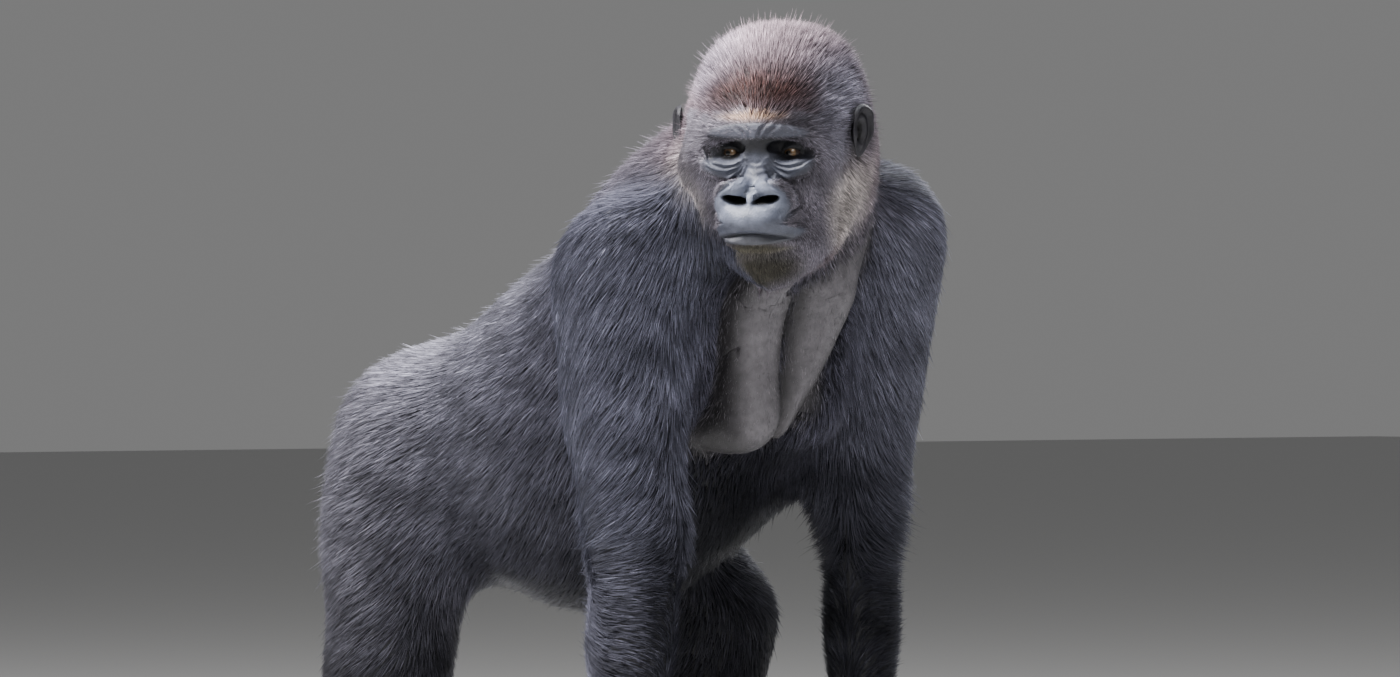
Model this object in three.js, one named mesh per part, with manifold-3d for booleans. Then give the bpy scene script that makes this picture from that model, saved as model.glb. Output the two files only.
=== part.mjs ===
// A western lowland gorilla standing on its knuckles and soles, head turned to its right.
// Units are millimetres: +Z up, the trunk lies along Y with the chest towards -Y, +X is the animal's left.
// The body is one smooth form, blended from named muscle masses and parted into solids by flat cuts.
import * as THREE from "three";
import { mergeVertices } from "three/addons/utils/BufferGeometryUtils.js";
import Module from "manifold-3d";

const wasm = await Module();
wasm.setup();

// ---- driving dimensions -------------------------------------------------------------------------
const gap = 0.3; // clear space left by every cut
const shoulderHeight = 768;
const shoulderReach = 188; // from the middle line to a shoulder joint
const hipHeight = 560;
const hipBack = 470; // behind the shoulders
const hipReach = 106;
const eyeHeight = 876;
const headTurn = THREE.MathUtils.degToRad(55); // to the animal's right
const headNod = THREE.MathUtils.degToRad(4); // nose down
const eyeMiddle = new THREE.Vector3(-126, -155, eyeHeight);
const eyeRadius = 12.5;
const eyeSpread = 34; // half the distance between the eyes
const eyeSegments = 12;

// Joints of each limb; side is -1 on the right and 1 on the left.
const arms = [
  {
    name: "right",
    side: -1,
    shoulder: [-shoulderReach, 4, shoulderHeight],
    elbow: [-212, -48, 466],
    wrist: [-222, -38, 150],
    girth: 1.0,
  },
  {
    name: "left",
    side: 1,
    shoulder: [shoulderReach, 0, shoulderHeight + 50],
    elbow: [193, 46, 474],
    wrist: [196, 52, 150],
    girth: 0.93,
  },
];
const legs = [
  {
    name: "right",
    side: -1,
    hip: [-hipReach, hipBack, hipHeight],
    knee: [-150, 478, 292],
    ankle: [-148, 556, 84],
    toeOut: 12,
  },
  {
    name: "left",
    side: 1,
    hip: [hipReach, hipBack - 10, hipHeight],
    knee: [206, 318, 352],
    ankle: [204, 385, 84],
    toeOut: 14,
  },
];

// ---- distance fields ----------------------------------------------------------------------------
const ball = (centre, radii, tilt = [0, 0, 0]) => {
  const inverse = new THREE.Matrix4()
    .makeRotationFromEuler(new THREE.Euler(...tilt.map(THREE.MathUtils.degToRad)))
    .setPosition(...centre)
    .invert().elements;
  const [a, b, c] = radii;
  return (x, y, z) => {
    const px = inverse[0] * x + inverse[4] * y + inverse[8] * z + inverse[12];
    const py = inverse[1] * x + inverse[5] * y + inverse[9] * z + inverse[13];
    const pz = inverse[2] * x + inverse[6] * y + inverse[10] * z + inverse[14];
    const near = Math.hypot(px / a, py / b, pz / c);
    const slope = Math.hypot(px / (a * a), py / (b * b), pz / (c * c));
    return slope < 1e-9 ? -Math.min(a, b, c) : (near * (near - 1)) / slope;
  };
};

const bone = (from, to, fromRadius, toRadius) => {
  const [ax, ay, az] = from;
  const [bx, by, bz] = [to[0] - ax, to[1] - ay, to[2] - az];
  const lengthSquared = bx * bx + by * by + bz * bz;
  return (x, y, z) => {
    const [px, py, pz] = [x - ax, y - ay, z - az];
    const along = Math.min(1, Math.max(0, (px * bx + py * by + pz * bz) / lengthSquared));
    const off = Math.hypot(px - bx * along, py - by * along, pz - bz * along);
    return off - (fromRadius + (toRadius - fromRadius) * along);
  };
};

const blend = (a, b, width) => {
  const near = Math.max(width - Math.abs(a - b), 0) / width;
  return Math.min(a, b) - (near * near * width) / 4;
};

const joined = (fields, width) => (x, y, z) => {
  let distance = 1e9;
  for (const field of fields) distance = blend(distance, field(x, y, z), width);
  return distance;
};

const carved = (field, cuts, width) => (x, y, z) => {
  let distance = field(x, y, z);
  for (const cut of cuts) distance = -blend(-distance, cut(x, y, z), width);
  return distance;
};

const mix = (from, to, share) => from.map((value, i) => value + (to[i] - value) * share);
const shift = (point, by) => point.map((value, i) => value + by[i]);
const bothSides = (make) => [-1, 1].flatMap(make);

// ---- trunk --------------------------------------------------------------------------------------
const torso = joined(
  [
    ball([0, 80, 690], [134, 138, 156]), // chest
    ball([0, 150, 560], [130, 150, 146]), // breastbone to belly
    ball([0, 112, 745], [130, 146, 88], [-14, 0, 0]), // withers
    ball([0, 226, 608], [174, 198, 188], [-16, 0, 0]), // rib cage
    ball([0, 285, 538], [182, 172, 184]), // belly
    ball([0, 380, 582], [144, 156, 118], [-12, 0, 0]), // loins
    ball([0, 474, 560], [122, 112, 108], [-20, 0, 0]), // rump
    ...bothSides((side) => [
      ball([side * 92, 92, 746], [80, 112, 82], [-8, 0, 0]), // shoulder blade
      ball([side * 62, 496, 535], [74, 92, 100]), // buttock
    ]),
  ],
  60,
);
const lobes = bothSides((side) => bone([side * 60, -12, 764], [side * 52, -40, 586], 56, 43));
const trunk = joined([torso, ...lobes], 24);

// ---- head, in its own frame: u to the animal's left, v up, w forward, from the middle of the eyes ---
const headFrame = new THREE.Matrix4()
  .makeBasis(
    new THREE.Vector3(Math.cos(headTurn), -Math.sin(headTurn), 0),
    new THREE.Vector3(0, 0, 1),
    new THREE.Vector3(-Math.sin(headTurn), -Math.cos(headTurn), 0),
  )
  .multiply(new THREE.Matrix4().makeRotationX(headNod))
  .setPosition(eyeMiddle);
const headPoint = (u, v, w) => new THREE.Vector3(u, v, w).applyMatrix4(headFrame).toArray();
const inHead = (field) => {
  const e = headFrame.clone().invert().elements;
  return (x, y, z) =>
    field(
      e[0] * x + e[4] * y + e[8] * z + e[12],
      e[1] * x + e[5] * y + e[9] * z + e[13],
      e[2] * x + e[6] * y + e[10] * z + e[14],
    );
};

const skull = joined(
  [
    ...bothSides((side) => ball([side * 27, 40, -95], [76, 98, 94])), // crown
    ball([0, 20, -48], [84, 72, 68]), // forehead
    ball([0, 0, -122], [76, 86, 74]), // nape
    ...bothSides((side) => [
      ball([side * 46, -64, -48], [45, 64, 56]), // cheek and jaw
      ball([side * 58, -14, -28], [28, 24, 32]), // cheekbone
    ]),
    ball([0, -110, -16], [46, 42, 48]), // chin
  ],
  40,
);
const mask = joined(
  [
    skull,
    ...bothSides((side) => bone([0, 25, 8], [side * 58, 19, -6], 13.5, 13)), // brow ridge
    bone([0, 8, -4], [0, -36, 24], 12, 14), // bridge of the nose
    ball([0, -72, 8], [50, 32, 46]), // muzzle
    ball([0, -76, 20], [45, 17, 43]), // upper lip
    ball([0, -99, 10], [40, 12, 42]), // lower lip
    ball([0, -40, 34], [18, 15, 19]), // tip of the nose
    ...bothSides((side) => [
      ball([side * 22, -50, 31], [20, 20, 20]), // wing of the nose
      ball([side * 40, -19, -2], [20, 11, 14], [0, 0, side * 12]), // pouch under the eye
    ]),
  ],
  10,
);
const head = carved(
  mask,
  [
    ...bothSides((side) => [
      ball([side * eyeSpread, 1, 10], [22, 11, 18], [0, 0, side * -6]), // eye hollow
      ball([side * 17, -57, 56], [13, 7, 14], [0, 0, side * -14]), // nostril
    ]),
  ],
  8,
);
const headField = inHead(head);

const neck = joined(
  [
    bone([0, 60, 800], headPoint(0, 5, -120), 120, 92), // nape muscles
    bone([-90, 40, 815], headPoint(-50, -20, -90), 70, 62),
    bone([100, 40, 815], headPoint(50, -20, -100), 74, 62),
    bone([0, 0, 760], headPoint(0, -70, -60), 80, 55), // throat
  ],
  50,
);

// ---- limbs --------------------------------------------------------------------------------------
const fingerCount = 4;
const armField = ({ side, shoulder, elbow, wrist, girth }) => {
  const round = (radius) => radius * girth;
  const belly = mix(elbow, wrist, 0.4);
  return joined(
    [
      ball(shift(shoulder, [0, 4, -12]), [round(74), round(82), round(82)]), // deltoid
      bone(shift(shoulder, [side * 4, 6, -46]), elbow, round(80), round(56)),
      ball(shift(mix(shoulder, elbow, 0.55), [side * -8, 24, 0]), [round(70), round(74), round(125)]),
      bone(elbow, belly, round(57), round(53)),
      bone(belly, wrist, round(52), round(41)),
    ],
    30,
  );
};

const handField = ({ side, wrist }) => {
  const [x, y] = wrist;
  const fingers = [];
  for (let i = 0; i < fingerCount; i++) {
    const across = x + side * (i - 1.5) * 24; // the first finger is the inner one
    const bend = 6 - 4 * Math.abs(i - 1.3);
    const knuckle = [across, y - 20, 78];
    const middle = [across, y - 46 - bend, 12];
    const tip = [across, y - 8 - bend, 9];
    fingers.push(
      bone([x + side * (i - 1.5) * 15, y, 140], knuckle, 20, 17),
      bone(knuckle, middle, 16.5, 15),
      bone(middle, tip, 14.5, 13),
      bone(tip, shift(tip, [0, 12, 22]), 12.5, 11),
    );
  }
  const thumbRoot = [x - side * 40, y + 6, 112];
  const thumbTip = [x - side * 58, y - 14, 52];
  return joined(
    [
      ball([x, y - 6, 112], [50, 27, 48]), // palm
      bone(wrist, [x, y, 120], 44, 34),
      ...fingers,
      bone(thumbRoot, thumbTip, 15, 11),
    ],
    9,
  );
};

const legField = ({ hip, knee, ankle }) =>
  joined(
    [
      bone(hip, knee, 104, 72),
      ball(shift(mix(hip, knee, 0.45), [0, 34, 0]), [76, 80, 130]), // hamstrings
      bone(knee, mix(knee, ankle, 0.4), 70, 62),
      bone(mix(knee, ankle, 0.4), ankle, 62, 44),
    ],
    40,
  );

const toeCount = 4;
const footField = ({ side, ankle, toeOut }) => {
  const turn = THREE.MathUtils.degToRad(side * toeOut);
  const [across, along] = [Math.cos(turn), Math.sin(turn)];
  // out is away from the middle line, ahead is towards the toes
  const at = (out, ahead, up) => [
    ankle[0] + side * out * across + ahead * along,
    ankle[1] + side * out * along - ahead * across,
    up,
  ];
  const toes = [];
  for (let i = 0; i < toeCount; i++) {
    const out = -14 + i * 22;
    const reach = 186 - 9 * i - 3 * i * i;
    toes.push(
      bone(at(out * 0.8, 118, 30), at(out, reach - 22, 22), 18, 15),
      bone(at(out, reach - 22, 22), at(out, reach, 13), 14.5, 13),
    );
  }
  return joined(
    [
      bone(ankle, at(0, -8, 52), 44, 38),
      ball(at(0, -34, 34), [38, 42, 38]), // heel
      bone(at(-2, -20, 36), at(8, 105, 28), 38, 32),
      bone(at(22, 0, 26), at(34, 100, 22), 26, 24),
      ...toes,
      bone(at(-26, 48, 28), at(-62, 116, 24), 24, 20), // big toe
      bone(at(-62, 116, 22), at(-70, 150, 17), 19, 16),
    ],
    14,
  );
};

const torsoAndNeck = joined([trunk, neck], 60);
const limbs = joined([...arms.map(armField), ...legs.map(legField)], 30);
const handsAndFeet = joined([...arms.map(handField), ...legs.map(footField)], 16);
const upright = joined([torsoAndNeck, limbs], 46);
const bodyField = joined([joined([upright, headField], 24), handsAndFeet], 16);

// Each ear is a flat oval shell, hollowed in front, that stands off the side of the head.
const earHeight = 64;
const earUp = 23; // from the eyes to the middle of the ear
const earBack = 56;
const earReach = (side) => {
  let reach = earBack;
  while (bodyField(...headPoint(side * reach, earUp, -earBack)) < 0) reach++;
  return reach;
};
const earField = (side) => {
  const reach = earReach(side);
  const tilt = [8, side * 66, side * 6];
  const centre = [side * (reach + 3), earUp, -earBack];
  return inHead(
    carved(
      joined(
        [
          ball(centre, [18, earHeight / 2, 6.5], tilt),
          ball([side * (reach - 8), earUp - 4, 2 - earBack], [16, earHeight / 2 - 9, 10]), // root
        ],
        8,
      ),
      [ball(shift(centre, [side * 7, 1, 4]), [11, earHeight / 2 - 9, 6], tilt)],
      4,
    ),
  );
};

// ---- surface: one vertex in each grid cell that the skin crosses ---------------------------------
const netSurface = (field, low, high, cell) => {
  const counts = low.map((value, i) => Math.ceil((high[i] - value) / cell) + 1);
  const [nx, ny, nz] = counts;
  const place = (i, axis) => low[axis] + i * cell;
  const values = new Float32Array(nx * ny * nz);
  const index = (i, j, k) => i + nx * (j + ny * k);
  for (let k = 0; k < nz; k++)
    for (let j = 0; j < ny; j++)
      for (let i = 0; i < nx; i++) {
        const edge = !i || !j || !k || i === nx - 1 || j === ny - 1 || k === nz - 1;
        const value = field(place(i, 0), place(j, 1), place(k, 2));
        values[index(i, j, k)] = edge ? Math.max(value, cell / 2) : value;
      }

  mendSaddles(values, counts, index, cell);

  const corners = [0, 1, 2, 3, 4, 5, 6, 7].map((n) => [n & 1, (n >> 1) & 1, n >> 2]);
  const edges = [];
  corners.forEach((a, n) =>
    corners.forEach((b, m) => {
      const apart = a.reduce((sum, value, i) => sum + Math.abs(value - b[i]), 0);
      if (n < m && apart === 1) edges.push([n, m]);
    }),
  );

  const positions = [];
  const vertexOf = new Int32Array(nx * ny * nz).fill(-1);
  for (let k = 0; k < nz - 1; k++)
    for (let j = 0; j < ny - 1; j++)
      for (let i = 0; i < nx - 1; i++) {
        const at = corners.map(([a, b, c]) => values[index(i + a, j + b, k + c)]);
        const inside = at.filter((value) => value < 0).length;
        if (inside === 0 || inside === 8) continue;
        const sum = [0, 0, 0];
        let crossings = 0;
        for (const [n, m] of edges) {
          if (at[n] < 0 === at[m] < 0) continue;
          const share = at[n] / (at[n] - at[m]);
          for (let axis = 0; axis < 3; axis++)
            sum[axis] += corners[n][axis] + share * (corners[m][axis] - corners[n][axis]);
          crossings++;
        }
        vertexOf[index(i, j, k)] = positions.length / 3;
        const cellAt = [i, j, k];
        positions.push(...sum.map((value, axis) => place(cellAt[axis] + value / crossings, axis)));
      }

  const triangles = [];
  const quad = (a, b, c, d) => {
    const span = (p, q) =>
      Math.hypot(...[0, 1, 2].map((axis) => positions[p * 3 + axis] - positions[q * 3 + axis]));
    if (span(a, c) < span(b, d)) triangles.push(a, b, c, a, c, d);
    else triangles.push(a, b, d, b, c, d);
  };
  const squareAround = [
    [[0, 0, 0], [0, 1, 0], [0, 1, 1], [0, 0, 1]],
    [[0, 0, 0], [0, 0, 1], [1, 0, 1], [1, 0, 0]],
    [[0, 0, 0], [1, 0, 0], [1, 1, 0], [0, 1, 0]],
  ];
  for (let k = 0; k < nz - 1; k++)
    for (let j = 0; j < ny - 1; j++)
      for (let i = 0; i < nx - 1; i++) {
        const here = values[index(i, j, k)] < 0;
        const next = [index(i + 1, j, k), index(i, j + 1, k), index(i, j, k + 1)];
        for (let axis = 0; axis < 3; axis++) {
          if (here === values[next[axis]] < 0) continue;
          const ring = squareAround[axis].map(([a, b, c]) => vertexOf[index(i - a, j - b, k - c)]);
          quad(...(here ? ring : ring.reverse()));
        }
      }

  for (let pass = 0; pass < 3; pass++) {
    relax(positions, triangles);
    settle(field, positions, cell);
  }
  const geometry = new THREE.BufferGeometry();
  geometry.setAttribute("position", new THREE.Float32BufferAttribute(positions, 3));
  geometry.setIndex(triangles);
  return geometry;
};

// Where two opposite corners of a grid square are inside and the other two outside, the skin would
// cross itself, so the outside corner nearest the skin is taken inside.
const mendSaddles = (values, [nx, ny, nz], index, cell) => {
  const squares = [
    [[1, 0, 0], [0, 1, 0]],
    [[0, 1, 0], [0, 0, 1]],
    [[1, 0, 0], [0, 0, 1]],
  ];
  let mended = 1;
  while (mended) {
    mended = 0;
    for (let k = 1; k < nz - 2; k++)
      for (let j = 1; j < ny - 2; j++)
        for (let i = 1; i < nx - 2; i++)
          for (const [a, b] of squares) {
            const ring = [
              index(i, j, k),
              index(i + a[0], j + a[1], k + a[2]),
              index(i + a[0] + b[0], j + a[1] + b[1], k + a[2] + b[2]),
              index(i + b[0], j + b[1], k + b[2]),
            ];
            const inside = ring.map((n) => values[n] < 0);
            if (inside[0] !== inside[2] || inside[1] !== inside[3] || inside[0] === inside[1]) continue;
            const outer = ring.filter((n) => values[n] >= 0).sort((m, n) => values[m] - values[n])[0];
            values[outer] = -cell * 0.02;
            mended++;
          }
  }
};

// Moves each vertex half way to the middle of its neighbours.
const relax = (positions, triangles) => {
  const sums = new Float64Array(positions.length);
  const counts = new Uint16Array(positions.length / 3);
  for (let n = 0; n < triangles.length; n += 3)
    for (const [a, b] of [[0, 1], [1, 2], [2, 0], [1, 0], [2, 1], [0, 2]]) {
      const [from, to] = [triangles[n + a], triangles[n + b]];
      for (let axis = 0; axis < 3; axis++) sums[to * 3 + axis] += positions[from * 3 + axis];
      counts[to]++;
    }
  for (let n = 0; n < positions.length; n++)
    positions[n] += 0.5 * (sums[n] / counts[Math.floor(n / 3)] - positions[n]);
};

// Moves each vertex onto the field's zero level, along the slope of the field.
const settle = (field, positions, cell) => {
  const step = cell * 0.05;
  const reach = cell * 0.35;
  for (let n = 0; n < positions.length; n += 3) {
    const [x, y, z] = positions.slice(n, n + 3);
    const here = field(x, y, z);
    const slope = [
      (field(x + step, y, z) - field(x - step, y, z)) / (2 * step),
      (field(x, y + step, z) - field(x, y - step, z)) / (2 * step),
      (field(x, y, z + step) - field(x, y, z - step)) / (2 * step),
    ];
    const steepness = Math.max(0.3, slope[0] ** 2 + slope[1] ** 2 + slope[2] ** 2);
    const move = Math.max(-reach, Math.min(reach, here / steepness));
    for (let axis = 0; axis < 3; axis++) positions[n + axis] -= slope[axis] * move;
  }
};

// ---- solids: joins and cuts ---------------------------------------------------------------------
const solidOf = (geometry) => {
  const bare = geometry.clone();
  bare.deleteAttribute("normal");
  bare.deleteAttribute("uv");
  const merged = mergeVertices(bare, 1e-4);
  return new wasm.Manifold(
    new wasm.Mesh({
      numProp: 3,
      vertProperties: new Float32Array(merged.attributes.position.array),
      triVerts: new Uint32Array(merged.index.array),
    }),
  );
};

const geometryOf = (solid) => {
  const mesh = solid.getMesh();
  const geometry = new THREE.BufferGeometry();
  geometry.setAttribute("position", new THREE.BufferAttribute(new Float32Array(mesh.vertProperties), 3));
  geometry.setIndex(new THREE.BufferAttribute(new Uint32Array(mesh.triVerts), 1));
  geometry.computeVertexNormals();
  return geometry;
};

// A cut is a point on a plane and the direction of the side that is kept.
const roomSize = 4000;
const side = ([point, towards], grow) => {
  const normal = new THREE.Vector3(...towards).normalize();
  const box = new THREE.BoxGeometry(roomSize, roomSize, roomSize);
  box.translate(0, 0, roomSize / 2 - grow);
  box.applyQuaternion(new THREE.Quaternion().setFromUnitVectors(new THREE.Vector3(0, 0, 1), normal));
  box.translate(...point);
  return solidOf(box);
};
const region = (cuts, grow = 0) =>
  cuts.map((cut) => side(cut, grow)).reduce((all, next) => all.intersect(next));

const biggest = (solid) => solid.decompose().sort((a, b) => b.volume() - a.volume())[0];

// The body inside the keep planes, without the regions that its neighbours take.
const bodyPart = (cell, low, high, keep, leave = []) => {
  let solid = solidOf(netSurface(bodyField, low, high, cell)).intersect(region([floorCut, ...keep]));
  for (const cuts of leave) solid = solid.subtract(region(cuts, gap));
  return biggest(solid);
};

const floorCut = [[0, 0, 0], [0, 0, 1]];
const flip = ([point, towards]) => [point, towards.map((value) => -value)];

// ---- where the body is parted -------------------------------------------------------------------
const napeCut = [[18, -32, 852], [-0.55, -0.42, 0.72]];
const cheekCut = [[-136, -56, 828], [0.59, -0.54, 0.6]];
const headRegion = [napeCut, cheekCut];
const headWay = (...towards) => new THREE.Vector3(...towards).transformDirection(headFrame).toArray();
const faceCut = [headPoint(0, 0, -27), headWay(0, 0, 1)];
const browCut = [headPoint(0, 42, 0), headWay(0, -1, 0)];
const faceRegion = [faceCut, browCut, ...headRegion];
const neckRegion = [
  [[0, 10, 812], [-0.3, -0.5, 0.8]],
  [[-118, 20, 860], [0.86, 0, 0.5]],
  [[118, 20, 850], [-0.86, 0, 0.5]],
];
const loinCut = [[0, 235, 600], [0, -1, 0]];
const rumpCut = [[0, 445, 600], [0, 1, -0.15]];

const armRegion = ({ side }) => [
  [[side * 118, 0, 700], [side, 0, 0]],
  [[0, 118, 700], [0, -1, 0]],
];
const elbowCut = ({ elbow }) => [elbow, [0, 0, 1]];
const wristCut = ({ wrist }) => [[wrist[0], wrist[1], wrist[2] - 4], [0, 0, 1]];

const legRegion = ({ name }) =>
  name === "right"
    ? [
        [[-150, 392, 600], [0, -0.36, -0.93]],
        [[0, 394, 0], [0, 1, 0]],
        [[-28, 0, 0], [-1, 0, 0]],
      ]
    : [
        [[122, 430, 520], [0.7, 0.1, -0.7]],
        [[64, 0, 0], [1, 0, 0]],
        [[0, 200, 0], [0, 1, 0]],
      ];
const kneeCut = ({ knee, ankle, hip }) => [
  knee,
  [hip[0] - ankle[0], (hip[1] - knee[1]) * 0.5, hip[2] - ankle[2]],
];
const ankleCut = ({ ankle }) => [[ankle[0], ankle[1], ankle[2] - 4], [0, 0, 1]];

const allLimbRegions = [...arms.map(armRegion), ...legs.map(legRegion)];

// ---- finishes -----------------------------------------------------------------------------------
const finish = (color, roughness) => new THREE.MeshStandardMaterial({ color, roughness, metalness: 0 });
const fur = finish("#33313a", 0.75);
const crownFur = finish("#5a4a48", 0.75);
const bareSkin = finish("#3c3e4a", 0.5);
const eyeGloss = finish("#5b3515", 0.12);

const gorilla = new THREE.Group();
const add = (name, solid, material, moved = new THREE.Vector3()) => {
  const mesh = new THREE.Mesh(geometryOf(solid).translate(...moved), material);
  mesh.name = name;
  gorilla.add(mesh);
};

// Size of the grid cells on each part: the finer the cells, the smaller the facets.
const cells = { trunk: 50, neck: 46, head: 28, face: 10, ear: 8.5, limb: 45, hand: 18.5, foot: 22.5 };

// Trunk
const trunkLow = [-260, -160, 250];
const trunkHigh = [260, 800, 980];
const notTrunk = [headRegion, neckRegion, ...allLimbRegions];
const trunkPart = (keep, leave = []) =>
  bodyPart(cells.trunk, trunkLow, trunkHigh, keep, [...notTrunk, ...leave]);
add("chest", trunkPart([loinCut]), fur);
add("belly", trunkPart([flip(loinCut)], [[rumpCut]]), fur);
add("rump", trunkPart([rumpCut]), fur);

// Head and neck
const headLow = [-300, -330, 640];
const headHigh = [170, 130, 1080];
const eyeCentres = [-1, 1].map((across) => headPoint(across * eyeSpread, 0, -eyeRadius));
const eyeSolid = (centre, radius) =>
  solidOf(new THREE.SphereGeometry(radius, eyeSegments, eyeSegments / 2).translate(...centre));
const eyeHoles = eyeCentres.map((centre) => eyeSolid(centre, eyeRadius + gap));
const faceSolid = eyeHoles.reduce(
  (solid, hole) => solid.subtract(hole),
  bodyPart(cells.face, headLow, headHigh, faceRegion),
);
const headSolid = bodyPart(cells.head, headLow, headHigh, headRegion, [faceRegion]);
add("face", faceSolid, bareSkin);
add("head", headSolid, crownFur);
eyeCentres.forEach((centre, i) => add(i ? "eye_left" : "eye_right", eyeSolid(centre, eyeRadius), eyeGloss));

const neckLow = [-260, -200, 640];
const neckHigh = [260, 300, 1040];
const notNeck = [headRegion, ...arms.map(armRegion)];
add("neck", bodyPart(cells.neck, neckLow, neckHigh, neckRegion, notNeck), fur);

// Ears: what stands off the head, moved out by the gap
bothSides((earSide) => {
  const middle = headPoint(earSide * earReach(earSide), earUp, -earBack);
  const low = middle.map((value) => value - earHeight);
  const high = middle.map((value) => value + earHeight);
  const ear = solidOf(netSurface(earField(earSide), low, high, cells.ear)).subtract(headSolid);
  const outwards = new THREE.Vector3(earSide, 0, 0).transformDirection(headFrame);
  const name = earSide < 0 ? "ear_right" : "ear_left";
  add(name, biggest(ear), bareSkin, outwards.multiplyScalar(2 * gap));
});

// Arms
arms.forEach((arm) => {
  const [x, y] = arm.elbow;
  const keep = armRegion(arm);
  const piece = (cell, reach, bottom, top, cuts, leave) => {
    const low = [x - reach, y - reach, bottom];
    const high = [x + reach, y + reach, top];
    return bodyPart(cell, low, high, [...keep, ...cuts], leave);
  };
  const upperArm = piece(cells.limb, 220, 380, 960, [elbowCut(arm)], [headRegion]);
  const forearm = piece(cells.limb, 170, 80, 560, [wristCut(arm)], [[elbowCut(arm)]]);
  const hand = piece(cells.hand, 110, -20, 190, [flip(wristCut(arm))], [[wristCut(arm)]]);
  add("upper_arm_" + arm.name, upperArm, fur);
  add("forearm_" + arm.name, forearm, fur);
  add("hand_" + arm.name, hand, bareSkin);
});

// Legs
legs.forEach((leg) => {
  const keep = legRegion(leg);
  const piece = (cell, [x, y], ahead, behind, bottom, top, cuts, leave) => {
    const low = [x - behind, y - ahead, bottom];
    const high = [x + behind, y + behind, top];
    return bodyPart(cell, low, high, cuts, leave);
  };
  const thigh = piece(cells.limb, leg.knee, 200, 400, 200, 760, [...keep, kneeCut(leg)], []);
  const shin = piece(cells.limb, leg.knee, 200, 300, 30, 480, [...keep, ankleCut(leg)], [[kneeCut(leg)]]);
  const foot = piece(cells.foot, leg.ankle, 260, 140, -20, 130, [flip(ankleCut(leg))], [[ankleCut(leg)]]);
  add("thigh_" + leg.name, thigh, fur);
  add("shin_" + leg.name, shin, fur);
  add("foot_" + leg.name, foot, bareSkin);
});

// The origin is on the floor, under the middle of the box around the whole animal.
const middle = new THREE.Box3().setFromObject(gorilla).getCenter(new THREE.Vector3());
gorilla.position.set(-middle.x, -middle.y, 0);

export default gorilla;
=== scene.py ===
# A still, life-size gorilla: one skin over the solid frame, with eyes, ears, nails and a coat of tufts.
import math

import bpy
import numpy as np
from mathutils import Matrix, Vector
from mathutils.bvhtree import BVHTree
from mathutils.kdtree import KDTree


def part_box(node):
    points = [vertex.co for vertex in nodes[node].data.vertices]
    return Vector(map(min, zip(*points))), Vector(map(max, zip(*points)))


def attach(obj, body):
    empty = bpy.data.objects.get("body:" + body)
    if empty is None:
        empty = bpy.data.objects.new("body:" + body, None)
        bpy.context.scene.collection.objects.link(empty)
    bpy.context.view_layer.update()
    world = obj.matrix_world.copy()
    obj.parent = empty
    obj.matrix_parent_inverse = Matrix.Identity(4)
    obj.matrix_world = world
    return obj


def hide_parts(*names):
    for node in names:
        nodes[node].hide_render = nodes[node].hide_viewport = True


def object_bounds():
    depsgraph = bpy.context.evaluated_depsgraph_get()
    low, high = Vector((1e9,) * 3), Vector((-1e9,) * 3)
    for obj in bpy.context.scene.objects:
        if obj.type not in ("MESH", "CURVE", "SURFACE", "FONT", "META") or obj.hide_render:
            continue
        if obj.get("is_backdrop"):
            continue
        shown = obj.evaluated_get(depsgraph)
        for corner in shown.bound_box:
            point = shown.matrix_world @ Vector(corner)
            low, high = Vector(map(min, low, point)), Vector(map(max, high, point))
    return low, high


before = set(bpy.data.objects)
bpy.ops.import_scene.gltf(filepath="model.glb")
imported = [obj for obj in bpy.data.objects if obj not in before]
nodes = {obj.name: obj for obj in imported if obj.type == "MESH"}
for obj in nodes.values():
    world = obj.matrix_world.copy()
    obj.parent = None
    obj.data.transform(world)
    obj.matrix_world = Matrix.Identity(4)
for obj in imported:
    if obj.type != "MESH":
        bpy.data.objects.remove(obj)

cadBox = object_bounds()
millimetre = 0.001
rng = np.random.default_rng(7)


# camera
camera = {"place": (-6.4236, -7.8454, 0.698), "heading": 39.63, "dip": 0.14, "lens": 230.9, "sensor": 36.0}


def makeCamera():
    data = bpy.data.cameras.new("camera")
    data.lens = camera["lens"]
    data.sensor_width = camera["sensor"]
    data.clip_end = 200
    piece = bpy.data.objects.new("camera", data)
    bpy.context.scene.collection.objects.link(piece)
    piece.location = camera["place"]
    piece.rotation_euler = (math.radians(90 - camera["dip"]), 0, math.radians(-camera["heading"]))
    bpy.context.scene.camera = piece
    print("camera placed")


# the head's own frame, from the two eyes: across to its left, up and forwards, in millimetres
head = {"nod": 4.0, "eyeRadius": 12.5, "eyeSpread": 34.0}


def boxMiddle(node):
    low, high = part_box(node)
    return (low + high) / 2


def makeHeadFrame():
    right = boxMiddle("eye_right")
    left = boxMiddle("eye_left")
    across = (left - right).normalized()
    level = across.cross(Vector((0, 0, 1)))
    nod = math.radians(head["nod"])
    forwards = level * math.cos(nod) - Vector((0, 0, 1)) * math.sin(nod)
    up = forwards.cross(across)
    head["axes"] = np.array([across, up, forwards])
    head["middle"] = np.array((left + right) / 2 + forwards * head["eyeRadius"] * millimetre)


def toHead(points):
    return (points - head["middle"]) @ head["axes"].T / millimetre


def fromHead(points):
    return np.asarray(points, float) * millimetre @ head["axes"] + head["middle"]


def turnFromHead(directions):
    return np.asarray(directions, float) @ head["axes"]


def turnToHead(directions):
    return directions @ head["axes"].T


# helpers
def clearSelection():
    if bpy.context.object and bpy.context.object.mode != "OBJECT":
        bpy.ops.object.mode_set(mode="OBJECT")
    bpy.ops.object.select_all(action="DESELECT")


def pick(piece):
    clearSelection()
    piece.select_set(True)
    bpy.context.view_layer.objects.active = piece


def applyModifier(piece, kind, **settings):
    pick(piece)
    modifier = piece.modifiers.new(kind.lower(), kind)
    for name, value in settings.items():
        setattr(modifier, name, value)
    bpy.ops.object.modifier_apply(modifier=modifier.name)


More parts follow.
